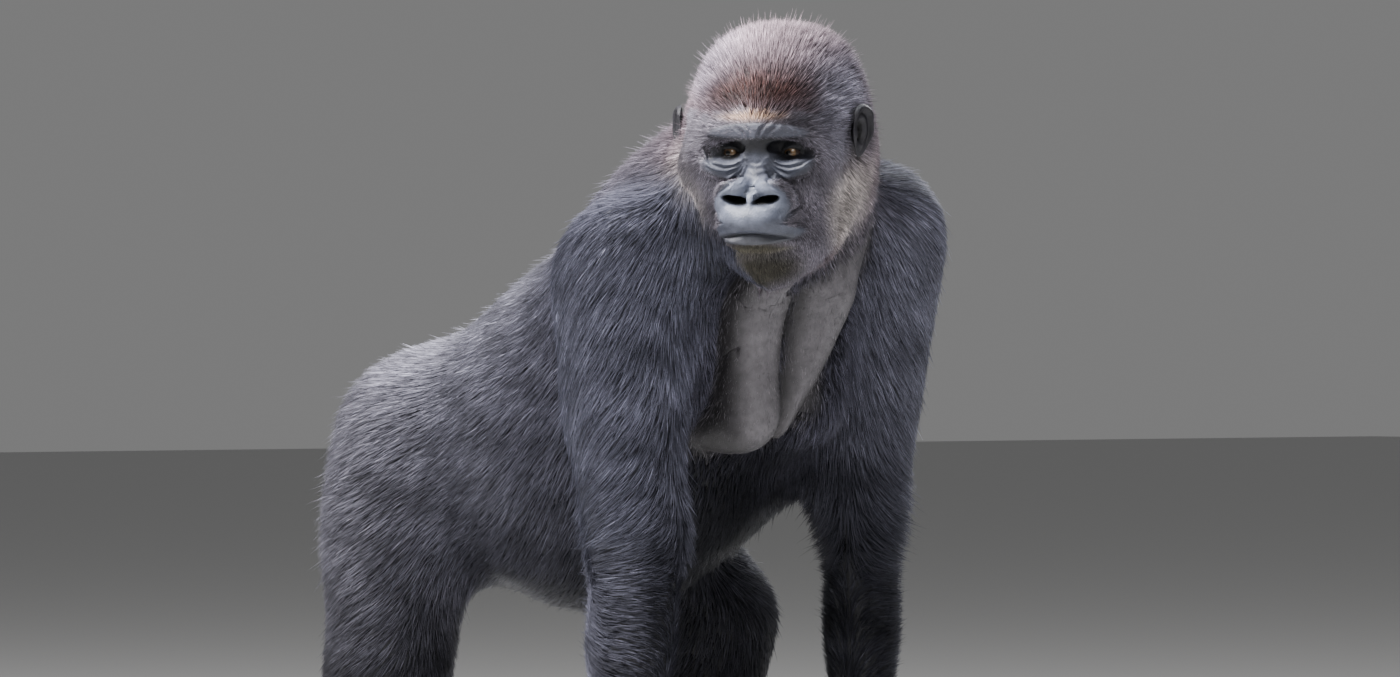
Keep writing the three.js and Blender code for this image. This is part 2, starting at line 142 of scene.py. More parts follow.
def pointsOf(mesh):
    points = np.empty(len(mesh.vertices) * 3)
    mesh.vertices.foreach_get("co", points)
    return points.reshape(-1, 3)


def setPoints(mesh, points):
    mesh.vertices.foreach_set("co", np.ascontiguousarray(points, np.float32).ravel())
    mesh.update()


def normalsOf(mesh):
    normals = np.empty(len(mesh.vertices) * 3)
    mesh.vertex_normals.foreach_get("vector", normals)
    return normals.reshape(-1, 3)


def edgesOf(mesh):
    edges = np.empty(len(mesh.edges) * 2, np.int32)
    mesh.edges.foreach_get("vertices", edges)
    return edges.reshape(-1, 2)


def neighbourMean(values, edges, count):
    sums = np.zeros_like(values)
    a, b = edges[:, 0], edges[:, 1]
    for axis in range(values.shape[1]):
        sums[:, axis] = np.bincount(a, values[b, axis], count) + np.bincount(b, values[a, axis], count)
    shares = np.bincount(a, minlength=count) + np.bincount(b, minlength=count)
    return sums / np.maximum(shares, 1)[:, None]


def relax(values, edges, rounds, weight):
    values = values.copy()
    for _ in range(rounds):
        values += weight * (neighbourMean(values, edges, len(values)) - values)
    return values


def unit(vectors):
    return vectors / np.maximum(np.linalg.norm(vectors, axis=1), 1e-9)[:, None]


def smoothStep(value, low, high):
    t = np.clip((value - low) / (high - low), 0, 1)
    return t * t * (3 - 2 * t)


def bell(value, width):
    return np.exp(-(value / width) ** 2)


def ovalAway(points, middle, size):
    # 0 in the middle of an oval, 1 on its edge
    return np.linalg.norm((points - np.array(middle)) / np.array(size), axis=1)


def waves(points, size, seed):
    turn = np.random.default_rng(seed)
    total = np.zeros(len(points))
    for _ in range(6):
        way = turn.normal(size=3)
        way /= np.linalg.norm(way)
        total += np.sin(points @ way * (2 * math.pi / size) * turn.uniform(0.6, 1.6) + turn.uniform(0, 6.3))
    return total / 3.0


# forms of the head, as distances in millimetres
def ball(p, centre, radii, tilt=0.0):
    q = p - np.asarray(centre, float)
    if tilt:
        c, s = math.cos(math.radians(tilt)), math.sin(math.radians(tilt))
        q = np.column_stack((q[:, 0] * c + q[:, 1] * s, q[:, 1] * c - q[:, 0] * s, q[:, 2]))
    r = np.asarray(radii, float)
    near = np.linalg.norm(q / r, axis=1)
    slope = np.maximum(np.linalg.norm(q / (r * r), axis=1), 1e-6)
    return near * (near - 1) / slope


def bone(p, start, end, startRadius, endRadius):
    start, way = np.asarray(start, float), np.asarray(end, float) - np.asarray(start, float)
    along = np.clip((p - start) @ way / (way @ way), 0, 1)
    distance = np.linalg.norm(p - start - along[:, None] * way, axis=1)
    return distance - startRadius - (endRadius - startRadius) * along


def blend(a, b, width):
    near = np.maximum(width - np.abs(a - b), 0) / width
    return np.minimum(a, b) - near * near * width / 4


def joined(fields, width):
    total = fields[0]
    for field in fields[1:]:
        total = blend(total, field, width)
    return total


def carved(field, cut, width):
    return -blend(-field, cut, width)


def skullForm(p):
    masses = [ball(p, (side * 27, 40, -95), (76, 98, 94)) for side in (-1, 1)]
    masses += [ball(p, (0, 20, -48), (84, 72, 68)), ball(p, (0, 0, -122), (76, 86, 74))]
    for side in (-1, 1):
        masses.append(ball(p, (side * 46, -64, -48), (45, 64, 56)))
        masses.append(ball(p, (side * 58, -14, -28), (28, 24, 32)))
    masses.append(ball(p, (0, -110, -16), (46, 42, 48)))
    return joined(masses, 40)


def faceForm(p):
    form = skullForm(p)
    for side in (-1, 1):
        form = blend(form, bone(p, (side * 2, 25, 9), (side * 60, 22, -9), 13.5, 12.5), 9)  # brow
    form = blend(form, ball(p, (0, -72, 6), (48, 34, 46)), 12)  # muzzle
    form = blend(form, ball(p, (0, -70, 17), (44, 21, 44)), 12)  # upper lip
    form = blend(form, ball(p, (0, -95, 10), (43, 10, 43)), 9)  # lower lip
    form = blend(form, bone(p, (0, 5, -10), (0, -30, 18), 8.0, 12), 12)  # bridge of the nose
    for side in (-1, 1):
        form = carved(form, ball(p, (side * 38, 5.5, 10), (29, 10.5, 16.5), side * -5), 7)  # eye hollow
        form = carved(form, ball(p, (side * 56, 3, 12), (14, 7, 10), side * -20), 12)  # its outer end
    for side in (-1, 1):
        form = blend(form, ball(p, (side * 34, 0, -12.5), (15.2, 14.2, 14.5)), 5)  # lids
        form = blend(form, ball(p, (side * 37, -18, -5), (18, 9, 11), side * -8), 8)  # pouch under the eye
    for side in (-1, 1):
        form = blend(form, ball(p, (side * 20, -37.5, 32), (19, 12, 19), side * -12), 6)  # nostril roof
        form = blend(form, ball(p, (side * 31, -50, 30), (13, 18.5, 17), side * 8), 5)  # wing of the nose
        form = blend(form, ball(p, (side * 17, -63, 34), (16, 7.5, 18), side * 18), 7)  # sill of the nostril
    form = blend(form, bone(p, (0, -44, 47), (0, -62, 50), 4.2, 4.2), 4)  # between the nostrils
    for side in (-1, 1):
        form = carved(form, ball(p, (side * 17.5, -49, 59), (15, 6, 9), side * 13), 3)  # mouth of the nostril
    form = carved(form, bone(p, (0, -26, 35), (0, -48, 57), 1.6, 2.4), 6)  # groove down the tip
    return form


def settleOn(form, p, depth, rounds):
    p = p.copy()
    for _ in range(rounds):
        value = form(p)
        slope = np.column_stack([(form(p + shift) - value) / 0.3 for shift in 0.3 * np.eye(3)])
        steep = np.maximum((slope * slope).sum(1), 0.3)
        p -= slope * np.clip((value + depth) / steep, -4, 4)[:, None]
    return p


# skin
skin = {
    "voxel": 0.0055,
    "overlap": 0.0009,       # how far the parts swell so that they run together
    "bodyRounds": 36,        # rounds of smoothing on the body
    "fineRounds": 4,         # and on the face, hands and feet
    "keep": 0.22,            # share of the faces kept on the body
    "cuff": (5.2, 17, 0.9, 4.0, 0.9),      # the coat at the wrists and ankles, as in coatOf
    "cuffReach": 40,
    "floorGap": 0.0004,
    "faceRounds": 4,
    "leastWeight": 0.005,    # below this a point stays where it is
}
bodyParts = sorted(set(nodes) - {"eye_left", "eye_right", "ear_left", "ear_right"})
headParts = [bodyParts.index(name) for name in ("face", "head")]
fineParts = {"face", "hand_left", "hand_right", "foot_left", "foot_right"}

# depth of the coat, length, width and rise of its tufts in millimetres, and how many stand on an area
coatOf = {
    "head": (8, 12.5, 0.75, 7.0, 1.0),
    "face": (4.0, 13, 0.75, 3.2, 1.0),
    "neck": (11, 28, 1.05, 7, 1.3),
    "chest": (11, 30, 1.15, 7, 1.0),
    "belly": (11, 29, 1.15, 7, 1.0),
    "rump": (11, 26, 1.1, 7.5, 1.1),
    "upper_arm": (11, 34, 1.1, 7, 1.0),
    "forearm": (9, 28, 1.0, 6.5, 1.0),
    "hand": (2.5, 11, 0.8, 2.2, 0.7),
    "thigh": (11, 27, 1.1, 7.5, 1.0),
    "shin": (9, 27, 1.1, 6, 1.0),
    "foot": (2, 10, 0.8, 2, 0.6),
}


def forPart(table, name):
    # a value of the part itself, or of both sides together
    return table[name] if name in table else table[name.removesuffix("_left").removesuffix("_right")]


cuffs = [(end + side, limb + side) for end, limb in (("hand", "forearm"), ("foot", "shin"))
         for side in ("_left", "_right")]


def copyNode(name):
    piece = nodes[name].copy()
    piece.data = nodes[name].data.copy()
    piece.parent = None
    piece.name = "part." + name
    bpy.context.scene.collection.objects.link(piece)
    pick(piece)
    bpy.ops.object.mode_set(mode="EDIT")
    bpy.ops.mesh.select_all(action="SELECT")
    bpy.ops.mesh.remove_doubles(threshold=0.00005)
    bpy.ops.object.mode_set(mode="OBJECT")
    setPoints(piece.data, pointsOf(piece.data) + normalsOf(piece.data) * skin["overlap"])
    return piece


def surfaceSamples(count=90000):
    corners, owners = [], []
    for index, name in enumerate(bodyParts):
        mesh = nodes[name].data
        mesh.calc_loop_triangles()
        triangles = np.empty(len(mesh.loop_triangles) * 3, np.int32)
        mesh.loop_triangles.foreach_get("vertices", triangles)
        corners.append(pointsOf(mesh)[triangles.reshape(-1, 3)])
        owners.append(np.full(len(corners[-1]), index))
    corners, owners = np.concatenate(corners), np.concatenate(owners)
    areas = np.linalg.norm(np.cross(corners[:, 1] - corners[:, 0], corners[:, 2] - corners[:, 0]), axis=1)
    chosen = rng.choice(len(corners), count, p=areas / areas.sum())
    a, b = rng.random(count), rng.random(count)
    flip = a + b > 1
    a[flip], b[flip] = 1 - a[flip], 1 - b[flip]
    weights = np.column_stack((1 - a - b, a, b))
    return np.einsum("ij,ijk->ik", weights, corners[chosen]), owners[chosen]


def partOf(points):
    samples, owners = surfaceSamples()
    tree = KDTree(len(samples))
    for index, point in enumerate(samples):
        tree.insert(point, index)
    tree.balance()
    return np.array([owners[tree.find(point)[1]] for point in points])


def selectVertices(piece, mask):
    pick(piece)
    bpy.ops.object.mode_set(mode="EDIT")
    bpy.ops.mesh.select_mode(type="VERT")
    bpy.ops.mesh.select_all(action="DESELECT")
    bpy.ops.object.mode_set(mode="OBJECT")
    piece.data.vertices.foreach_set("select", mask)
    bpy.ops.object.mode_set(mode="EDIT")
    bpy.ops.mesh.select_mode(type="FACE")


def faceZone(q, reach=0.0):
    tall = (q[:, 1] < 62 + reach) & (q[:, 1] > -150 - reach)
    return (q[:, 2] > -64 - reach) & tall & (np.abs(q[:, 0]) < 100 + reach)


def detailZone(q):
    # eyes, nose and lips
    side = np.abs(q[:, 0])
    eyes = np.hypot(side - 37, q[:, 1] + 2) < 29
    nose = (side < 48) & (q[:, 1] < -24) & (q[:, 1] > -84)
    lips = (side < 60) & (q[:, 1] < -76) & (q[:, 1] > -103)
    return (eyes | nose | lips) & (q[:, 2] > -26)


def lidZone(q):
    return (np.hypot(np.abs(q[:, 0]) - 34, q[:, 1]) < 17) & (q[:, 2] > -20)


def makeSkinShell():
    pieces = [copyNode(name) for name in bodyParts]
    clearSelection()
    for piece in pieces:
        piece.select_set(True)
    bpy.context.view_layer.objects.active = pieces[0]
    bpy.ops.object.join()
    shell = bpy.context.object
    shell.name = shell.data.name = "skin"
    shell.data.materials.clear()
    applyModifier(shell, "REMESH", mode="VOXEL", voxel_size=skin["voxel"], adaptivity=0.0)
    mesh = shell.data
    print("skin remeshed to", len(mesh.vertices), "points")
    points, edges = pointsOf(mesh), edgesOf(mesh)
    part = partOf(points)
    fine = np.isin(part, [bodyParts.index(name) for name in fineParts]).astype(float)
    fine = relax(fine[:, None], edges, 5, 0.5)[:, 0]
    points = relax(points, edges, skin["fineRounds"], 0.5)
    for _ in range(skin["bodyRounds"]):
        points += ((0.5 * (1 - fine))[:, None]) * (neighbourMean(points, edges, len(points)) - points)
    setPoints(mesh, points)
    thin = shell.vertex_groups.new(name="thin")
    coarse = np.flatnonzero((fine < 0.02) & ~faceZone(toHead(points), 14))
    thin.add(coarse.tolist(), 1.0, "REPLACE")
    applyModifier(shell, "DECIMATE", ratio=skin["keep"], vertex_group="thin", vertex_group_factor=1000.0)
    shell.vertex_groups.clear()
    print("skin thinned to", len(mesh.polygons), "faces")
    return shell


def headWeight(q, depth):
    # 1 on the front of the face, fading to 0 towards the crown, the ears and the throat
    weight = smoothStep(q[:, 2], -58, -34) * smoothStep(-q[:, 1], -57, -40) * smoothStep(q[:, 1], -146, -122)
    clear = 1 - smoothStep(faceForm(q) + depth, 5, 16)
    low = np.maximum(smoothStep(-q[:, 1], 80, 110), smoothStep(np.abs(q[:, 0]), 64, 80))
    return weight * (clear * low + 1 - low)


# bare skin of the face: middle, half width and height, where it begins and ends to fade, and how bare it is
bareZones = {
    "orbit": ((0, -6), (66, 25), (0.86, 1.12), 1.0),
    "nose": ((0, -56), (46, 34), (0.84, 1.08), 1.0),
    "lips": ((0, -84), (55, 14), (0.84, 1.06), 1.0),
    "brow": ((0, 22), (64, 13), (0.75, 1.1), 0.8),
}


def inZone(across, up, middle, size, fade):
    # 1 inside an oval, fading to 0 outside it
    return 1 - smoothStep(np.hypot((across - middle[0]) / size[0], (up - middle[1]) / size[1]), *fade)


def bareness(q, part):
    # 1 on bare skin, 0 under full coat
    zones = [bare * inZone(q[:, 0], q[:, 1], middle, size, fade)
             for middle, size, fade, bare in bareZones.values()]
    face = np.maximum.reduce(zones) * smoothStep(q[:, 2], -40, -22)
    return np.where(np.isin(part, headParts), face, 0)


# the two bare lobes of the chest: top and bottom of each, across and up, and its half width there
lobes = {
    1: ((33, 790), (-19, 572), 67, 13),
    -1: ((-76, 780), (-72, 580), 38, 36),
    "bulge": 16.0,
    "groove": 9.0,
}


def lobeAway(points):
    # distance from the edge of the nearer lobe in millimetres, below 0 inside it
    raw = points / millimetre
    away = np.full(len(points), 1e3)
    for side in (-1, 1):
        start, end, wide, narrow = lobes[side]
        way = np.array(end) - np.array(start)
        flat = raw[:, [0, 2]] - np.array(start)
        along = np.clip(flat @ way / (way @ way), 0, 1)
        distance = np.linalg.norm(flat - along[:, None] * way, axis=1)
        away = np.minimum(away, distance - wide - (narrow - wide) * along)
    return np.where(raw[:, 1] < -150, away, 1e3), raw


def lobeShare(points):
    # 1 on the two bare lobes of the chest
    away, raw = lobeAway(points)
    return (1 - smoothStep(away, -5, 3)) * smoothStep(-raw[:, 1], 150, 185)


def lobeRise(points, part):
    # how far the lobes stand out, and the groove between and round them
    away, raw = lobeAway(points)
    inside = np.sqrt(np.clip(-away / 38, 0, 1)) * lobes["bulge"] - bell(away, 6) * lobes["groove"]
    inside = np.where(part == bodyParts.index("chest"), inside, 0)
    return inside * smoothStep(-raw[:, 1], 160, 220) * smoothStep(790 - raw[:, 2], 0, 80)


# folds of the face: how strong each kind is, and its lines, across and up from between the eyes
creases = {
    "depth": 1.5,
    "width": 1.5,
    "underEye": (1.0, [
        [(15, -7), (24, -13), (36, -15), (50, -12), (58, -6)],
        [(13, -8), (22, -17), (34, -22), (48, -20), (60, -13)],
        [(11, -9), (19, -20), (31, -29), (46, -30), (60, -23)],
        [(9, -12), (15, -23), (24, -33), (36, -40)],
    ]),
    "frown": (0.9, [[(4, 18), (7, 27), (15, 34)], [(9, 15), (14, 24), (24, 30)]]),
    "aboveEye": (1.3, [[(18, 9), (30, 13), (44, 12), (56, 4)]]),
    "bridge": (0.5, [
        [(-9, -8), (0, -10), (9, -8)],
        [(-10, -15), (0, -17), (10, -15)],
        [(-11, -22), (0, -24), (11, -22)],
    ]),
    "nostril": (1.7, [[(34, -31), (45, -42), (46, -56), (38, -69)], [(14, -27), (26, -27), (36, -32)]]),
    "cheek": (0.6, [[(46, -62), (56, -76), (60, -92)]]),
}
foldKinds = ("underEye", "frown", "aboveEye", "bridge", "nostril", "cheek")


def nearLine(flat, line):
    nearest = np.full(len(flat), 1e9)
    for start, end in zip(line[:-1], line[1:]):
        start, end = np.asarray(start, float), np.asarray(end, float)
        way = end - start
        along = np.clip((flat - start) @ way / (way @ way), 0, 1)
        nearest = np.minimum(nearest, np.linalg.norm(flat - start - along[:, None] * way, axis=1))
    return nearest


def fadeEnds(flat, line, reach=6.0):
    ends = [np.linalg.norm(flat - np.asarray(end, float), axis=1) for end in (line[0], line[-1])]
    return smoothStep(np.minimum(*ends), -1, reach)


def creaseDepth(q):
    # how far the folds of the face draw the skin in, with a soft roll beside each
    total = np.zeros(len(q))
    for name in foldKinds:
        strong, lines = creases[name]
        for line in lines:
            for side in ((1,) if name == "bridge" else (-1, 1)):
                flat = q[:, :2] * np.array([side, 1])
                near = nearLine(flat, line)
                fold = bell(near, creases["width"]) - 0.45 * bell(near - 3.4, 2.0)
                total += strong * creases["depth"] * fold * fadeEnds(flat, line)
    return total * smoothStep(q[:, 2], -45, -30)


mouth = {"line": [(-52, -88), (-40, -91), (-22, -88), (-8, -85), (6, -85), (22, -88), (40, -91), (52, -88)]}


def mouthDepth(q):
    near = nearLine(q[:, :2], mouth["line"])
    signed = q[:, 1] - np.interp(q[:, 0], *zip(*mouth["line"]))
    rim = 1.3 * bell(signed + 5, 3.2) + 0.8 * bell(signed - 4, 2.6)
    inside = 1 - smoothStep(np.abs(q[:, 0]), 40, 52)
    return (4.2 * bell(near, 1.5) - rim) * inside * smoothStep(q[:, 2], 0, 14)


nostril = {"middle": (17.5, -49.5), "size": (15.5, 5.4), "tilt": 13.0, "deep": 13.0, "way": (0, 0.35, -1.0)}


def nostrilShare(q, inner, outer):
    tilt = math.radians(nostril["tilt"])
    across = np.abs(q[:, 0]) - nostril["middle"][0]
    up = q[:, 1] - nostril["middle"][1]
    along = across * math.cos(tilt) + up * math.sin(tilt)
    over = up * math.cos(tilt) - across * math.sin(tilt)
    return inZone(along, over, (0, 0), nostril["size"], (inner, outer)) * (q[:, 2] > 10)


opening = {"width": 12.8, "top": 6.0, "bottom": 4.4, "cant": 5.0, "depth": 3.0, "rim": 0.8, "lid": 1.4}


def lidOpening(q, side):
    # above 0 between the lids, below 0 outside them, in millimetres from their edge
    cant = math.radians(opening["cant"])
    across = (q[:, 0] - side * head["eyeSpread"]) * side
    up = q[:, 1] + 0.6
    x = (across * math.cos(cant) + up * math.sin(cant)) / opening["width"]
    y = up * math.cos(cant) - across * math.sin(cant)
    reach = np.clip(1 - x * x, 0, 1)
    inside = np.minimum(opening["top"] * reach ** 0.75 - y, y + opening["bottom"] * reach ** 0.65)
    return np.where(np.abs(x) < 1, inside, -np.hypot((np.abs(x) - 1) * opening["width"], y))


def snapLids(q, edges):
    # points beside the edge of the lids move onto it, so that the edge comes out clean
    for side in (-1, 1):
        eye = np.array([side * head["eyeSpread"], 0])
        near = (np.linalg.norm(q[:, :2] - eye, axis=1) < 16) & (q[:, 2] > -head["eyeRadius"] - 6)
        value = np.where(near, lidOpening(q, side), -50)
        a, b = edges[:, 0], edges[:, 1]
        crossed = (value[a] > 0) != (value[b] > 0)
        nearer = np.where(np.abs(value[a]) < np.abs(value[b]), a, b)[crossed]
        chosen = np.unique(nearer)
        for _ in range(3):
            here = q[chosen]
            step = 0.05
            shifts = (np.array([step, 0, 0]), np.array([0, step, 0]))
            slope = [lidOpening(here + shift, side) - lidOpening(here - shift, side) for shift in shifts]
            slope = np.column_stack(slope) / (2 * step)
            move = lidOpening(here, side) / np.maximum((slope * slope).sum(1), 0.25)
            q[chosen, :2] -= slope * np.clip(move, -0.6, 0.6)[:, None]
    return q


def shapeLids(q, edges):
    # lids lie on the eyeball, and between them the skin goes behind it
    q = snapLids(q.copy(), edges)
    radius = head["eyeRadius"]
    for side in (-1, 1):
        centre = np.array([side * head["eyeSpread"], 0, -radius])
        near = (np.linalg.norm(q[:, :2] - centre[:2], axis=1) < 19) & (q[:, 2] > -radius - 2)
        away = q[near] - centre
        distance = np.linalg.norm(away, axis=1)
        edge = lidOpening(q[near], side)
        lid = radius + opening["rim"] + opening["lid"] * smoothStep(-edge, 0, 2.0)
        hidden = radius - opening["depth"] * smoothStep(edge, 0, 0.5)
        pull = 1 - smoothStep(-edge, 2.5, 7)
        wanted = np.where(edge > 0.02, hidden, distance + (lid - distance) * pull)
        q[near] = centre + away * (wanted / distance)[:, None]
    return q


fingers = {"offset": 0.008, "apart": 24, "width": 4.2, "depth": 5.5, "top": 0.092}


def grooveHands(points, part):
    # parts the fingers
    depth = np.zeros(len(points))
    for name in ("hand_left", "hand_right"):
        low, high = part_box(name)
        offset = fingers["offset"] if name == "hand_right" else -fingers["offset"]
        middle = (low.x + high.x) / 2 + offset
        here = part == bodyParts.index(name)
        for step in (-1, 0, 1):
            near = bell((points[:, 0] - middle) / millimetre - step * fingers["apart"], fingers["width"])
            depth += np.where(here & (points[:, 2] < fingers["top"]), near * fingers["depth"], 0)
    return depth


def subdivideWhere(piece, mask, cuts):
    selectVertices(piece, mask)
    bpy.ops.mesh.subdivide(number_cuts=cuts, smoothness=0, quadcorner="INNERVERT")
    bpy.ops.object.mode_set(mode="OBJECT")


def coatDepthOf(q, part, values, lobes):
    return values[:, 0] * (1 - bareness(q, part)) * (1 - 0.8 * lobes)


def nearestOf(points, known):
    tree = KDTree(len(known))
    for index, point in enumerate(known):
        tree.insert(point, index)
    tree.balance()
    return np.array([tree.find(point)[1] for point in points])


def lobesOf(points, part):
    return np.where(part == bodyParts.index("chest"), lobeShare(points), 0)


def sinkSkin(mesh):
    # draws the skin in by the depth of the coat, and finds each point's part and coat
    points, edges = pointsOf(mesh), edgesOf(mesh)
    known = partOf(points)
    table = np.array([forPart(coatOf, name) for name in bodyParts], float)
    coarse = relax(table[known], edges, 10, 0.5)
    for end, limb in cuffs:
        near = bell((points[:, 2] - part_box(end)[1].z + 0.008) / millimetre, skin["cuffReach"])
        near *= np.isin(known, [bodyParts.index(end), bodyParts.index(limb)])
        coarse += near[:, None] * (np.array(skin["cuff"]) - coarse)
    depth = coatDepthOf(toHead(points), known, coarse, lobesOf(points, known))
    normals = unit(relax(normalsOf(mesh), edges, 6, 0.5))
    points -= normals * (relax(depth[:, None], edges, 4, 0.5) * millimetre)
    setPoints(mesh, points)
    return points, known, coarse


def refineSkin(shell, points, known):
    # finer faces on the head and the chest lobes, and the finest round the eyes
    shoulder = np.isin(known, [bodyParts.index(name) for name in ("upper_arm_right", "upper_arm_left")])
    subdivideWhere(shell, faceZone(toHead(points)) & ~shoulder, 2)
    lobed = lobeAway(pointsOf(shell.data))[0] < 14
    subdivideWhere(shell, lobed & (toHead(pointsOf(shell.data))[:, 1] < -150), 2)
    subdivideWhere(shell, detailZone(toHead(pointsOf(shell.data))), 1)
    subdivideWhere(shell, lidZone(toHead(pointsOf(shell.data))), 1)


def shapeFace(mesh, q, edges, coatDepth):
    # settles the front of the head on the form of the face, then draws in the folds and the mouth
    weight = headWeight(q, coatDepth)
    front = weight > skin["leastWeight"]
    for _ in range(skin["faceRounds"]):
        q[front] += (settleOn(faceForm, q[front], coatDepth[front], 2) - q[front]) * weight[front][:, None]
        q += (relax(q, edges, 3, 0.5) - q) * (0.8 * (weight > 0.9))[:, None]
    q[front] += (settleOn(faceForm, q[front], coatDepth[front], 2) - q[front]) * weight[front][:, None]
    setPoints(mesh, fromHead(q))
    q = q - turnToHead(unit(relax(normalsOf(mesh), edges, 2, 0.5))) * (creaseDepth(q) * weight)[:, None]
    return q - np.array([0, 0, 1]) * (mouthDepth(q) * weight)[:, None]


def shiftJowls(q, part):
    # the sides of the head move to its right, one more than the other
    jowl = smoothStep(np.abs(q[:, 0]), 52, 95) * smoothStep(q[:, 2], -190, -120)
    jowl *= np.where(q[:, 0] > 0, 10 * bell(q[:, 1] + 25, 82), 7 * bell(q[:, 1] + 45, 62))
    q[:, 0] -= jowl * np.isin(part, headParts)
    return q


def unwrapSkin(shell):
    pick(shell)
    bpy.ops.object.mode_set(mode="EDIT")
    bpy.ops.mesh.select_all(action="SELECT")
    bpy.ops.uv.smart_project(angle_limit=math.radians(66), island_margin=0.001)
    bpy.ops.object.mode_set(mode="OBJECT")
    shell.data.uv_layers[0].name = "OFBake"
    bpy.ops.object.shade_smooth()


def makeSkin():
    shell = makeSkinShell()
    mesh = shell.data
    points, known, coarse = sinkSkin(mesh)
    refineSkin(shell, points, known)
    fine, edges = pointsOf(mesh), edgesOf(mesh)
    source = nearestOf(fine, points)
    part, values = known[source], relax(coarse[source], edges, 6, 0.5)
    q = toHead(fine)
    zone = faceZone(q)[:, None]
    q += zone * (relax(q, edges, 6, 0.5) - q)
    lobes = lobesOf(fine, part)
    coatDepth = coatDepthOf(q, part, values, lobes)
    q = shapeFace(mesh, q, edges, coatDepth)
    bare = bareness(q, part)
    # painted shade: dark marks the inside of each nostril, which is painted near black
    dark = nostrilShare(q, 0.8, 1.12)
    q = q + np.array(nostril["way"]) * (nostril["deep"] * nostrilShare(q, 0.5, 1.1))[:, None]
    q = shiftJowls(shapeLids(q, edges), part)
    points = fromHead(q)
    setPoints(mesh, points)
    rise = (lobeRise(points, part) - grooveHands(points, part)) * millimetre
    points = points + normalsOf(mesh) * rise[:, None]
    points[:, 2] = np.maximum(points[:, 2], skin["floorGap"])
    setPoints(mesh, points)
    unwrapSkin(shell)
    mesh.calc_loop_triangles()
    print("skin shaped,", len(mesh.loop_triangles), "triangles")
    return shell, {"part": part, "values": values, "bare": bare, "lobes": lobes, "q": q, "nostril": dark}


# colours of the coat and skin by part, as linear red, green and blue
toneOf = {
    "head": (0.080, 0.062, 0.072),
    "face": (0.100, 0.092, 0.110),
    "neck": (0.060, 0.059, 0.078),
    "chest": (0.042, 0.041, 0.056),
    "belly": (0.072, 0.071, 0.092),
    "rump": (0.120, 0.116, 0.142),
    "upper_arm_left": (0.080, 0.080, 0.104),
    "upper_arm_right": (0.065, 0.066, 0.089),
    "forearm_left": (0.017, 0.017, 0.022),
    "forearm_right": (0.015, 0.015, 0.020),
    "hand": (0.024, 0.023, 0.027),
    "thigh_left": (0.050, 0.049, 0.062),
    # the right thigh, on the lit side, is painted paler than the left: painted highlight
    "thigh_right": (0.104, 0.101, 0.124),
    "shin": (0.030, 0.029, 0.037),
    "foot": (0.022, 0.021, 0.024),
}
# patches of colour on the head, its own and painted highlight: middle and size across, up and forwards, then
# the colour
headMarksAndHighlight = [
    ((0, 126, -70), (80, 44, 70), (0.130, 0.095, 0.108), 0.85),    # paler crown
    # painted highlight on the upper right side of the head
    ((-60, 92, -50), (30, 48, 60), (0.140, 0.120, 0.150), 0.75),
    ((78, 42, -45), (34, 62, 60), (0.210, 0.200, 0.245), 0.85),
    ((-2, 62, -12), (60, 27, 56), (0.026, 0.0115, 0.0095), 0.97),  # red-brown forehead
    ((-4, 37, 0), (38, 4, 30), (0.21, 0.125, 0.07), 0.85),         # pale strip over the brow
    ((86, -62, -60), (26, 62, 70), (0.32, 0.29, 0.28), 0.85),      # grizzled edge of the jaw
    ((-84, -58, -50), (32, 66, 70), (0.42, 0.38, 0.38), 0.85),
    ((0, -120, 10), (54, 24, 50), (0.024, 0.022, 0.014), 0.9),     # chin
    ((0, -99, 30), (48, 5, 40), (0.070, 0.064, 0.030), 0.6),
]
# patches of the body's colour, most of them painted shade or painted highlight: middle and size in
# millimetres, then the colour
bodyPaintedLightAndMarks = [
    ((15, -170, 470), (225, 300, 150), (0.001, 0.001, 0.0015), 0.99),      # painted shade between the arms
    ((-182, -322, 508), (30, 60, 48), (0.080, 0.076, 0.086), 0.85),      # pale fringe of the right elbow
    ((-35, -310, 640), (12, 90, 150), (0.003, 0.003, 0.004), 0.97),       # painted shade in the groove of the chest
    ((-60, -300, 800), (110, 110, 60), (0.005, 0.005, 0.006), 0.9),       # painted shade under the chin
    ((-190, 230, 265), (190, 210, 175), (0.003, 0.003, 0.004), 0.96),     # painted shade on the lower thighs
    ((170, 150, 265), (190, 230, 175), (0.003, 0.003, 0.004), 0.96),
    ((0, 20, 420), (200, 270, 110), (0.004, 0.004, 0.005), 0.94),          # painted shade under the belly
    ((-45, 200, 740), (180, 220, 105), (0.215, 0.212, 0.255), 0.85),        # paler lower back: greyer hair and painted highlight of the light from above
    ((-10, -140, 880), (90, 90, 70), (0.130, 0.122, 0.150), 0.7),         # painted highlight on the nape
    ((-178, 130, 520), (32, 60, 90), (0.006, 0.006, 0.008), 0.85),        # painted shade in the fold between flank and thigh
    ((178, 60, 520), (32, 60, 90), (0.006, 0.006, 0.008), 0.85),
    ((-185, -85, 560), (42, 42, 160), (0.012, 0.012, 0.015), 0.75),       # painted shade behind the upper arms
    ((165, -30, 560), (42, 42, 160), (0.012, 0.012, 0.015), 0.75),
    ((-250, -240, 400), (90, 90, 60), (0.009, 0.009, 0.012), 0.7),        # painted shade on the forearms under the elbow
    ((190, -170, 400), (90, 90, 60), (0.009, 0.009, 0.012), 0.7),
]
skinTones = {
    "face": (0.068, 0.073, 0.098),
    # painted shade in the eye hollows and the band under the brow
    "orbit": (0.008, 0.008, 0.010),
    # painted shade deep inside the nostrils
    "nostril": (0.002, 0.002, 0.002),
    "nose": (0.125, 0.138, 0.185),
    "lips": (0.056, 0.058, 0.070),
    "lobes": (0.126, 0.118, 0.129),
}


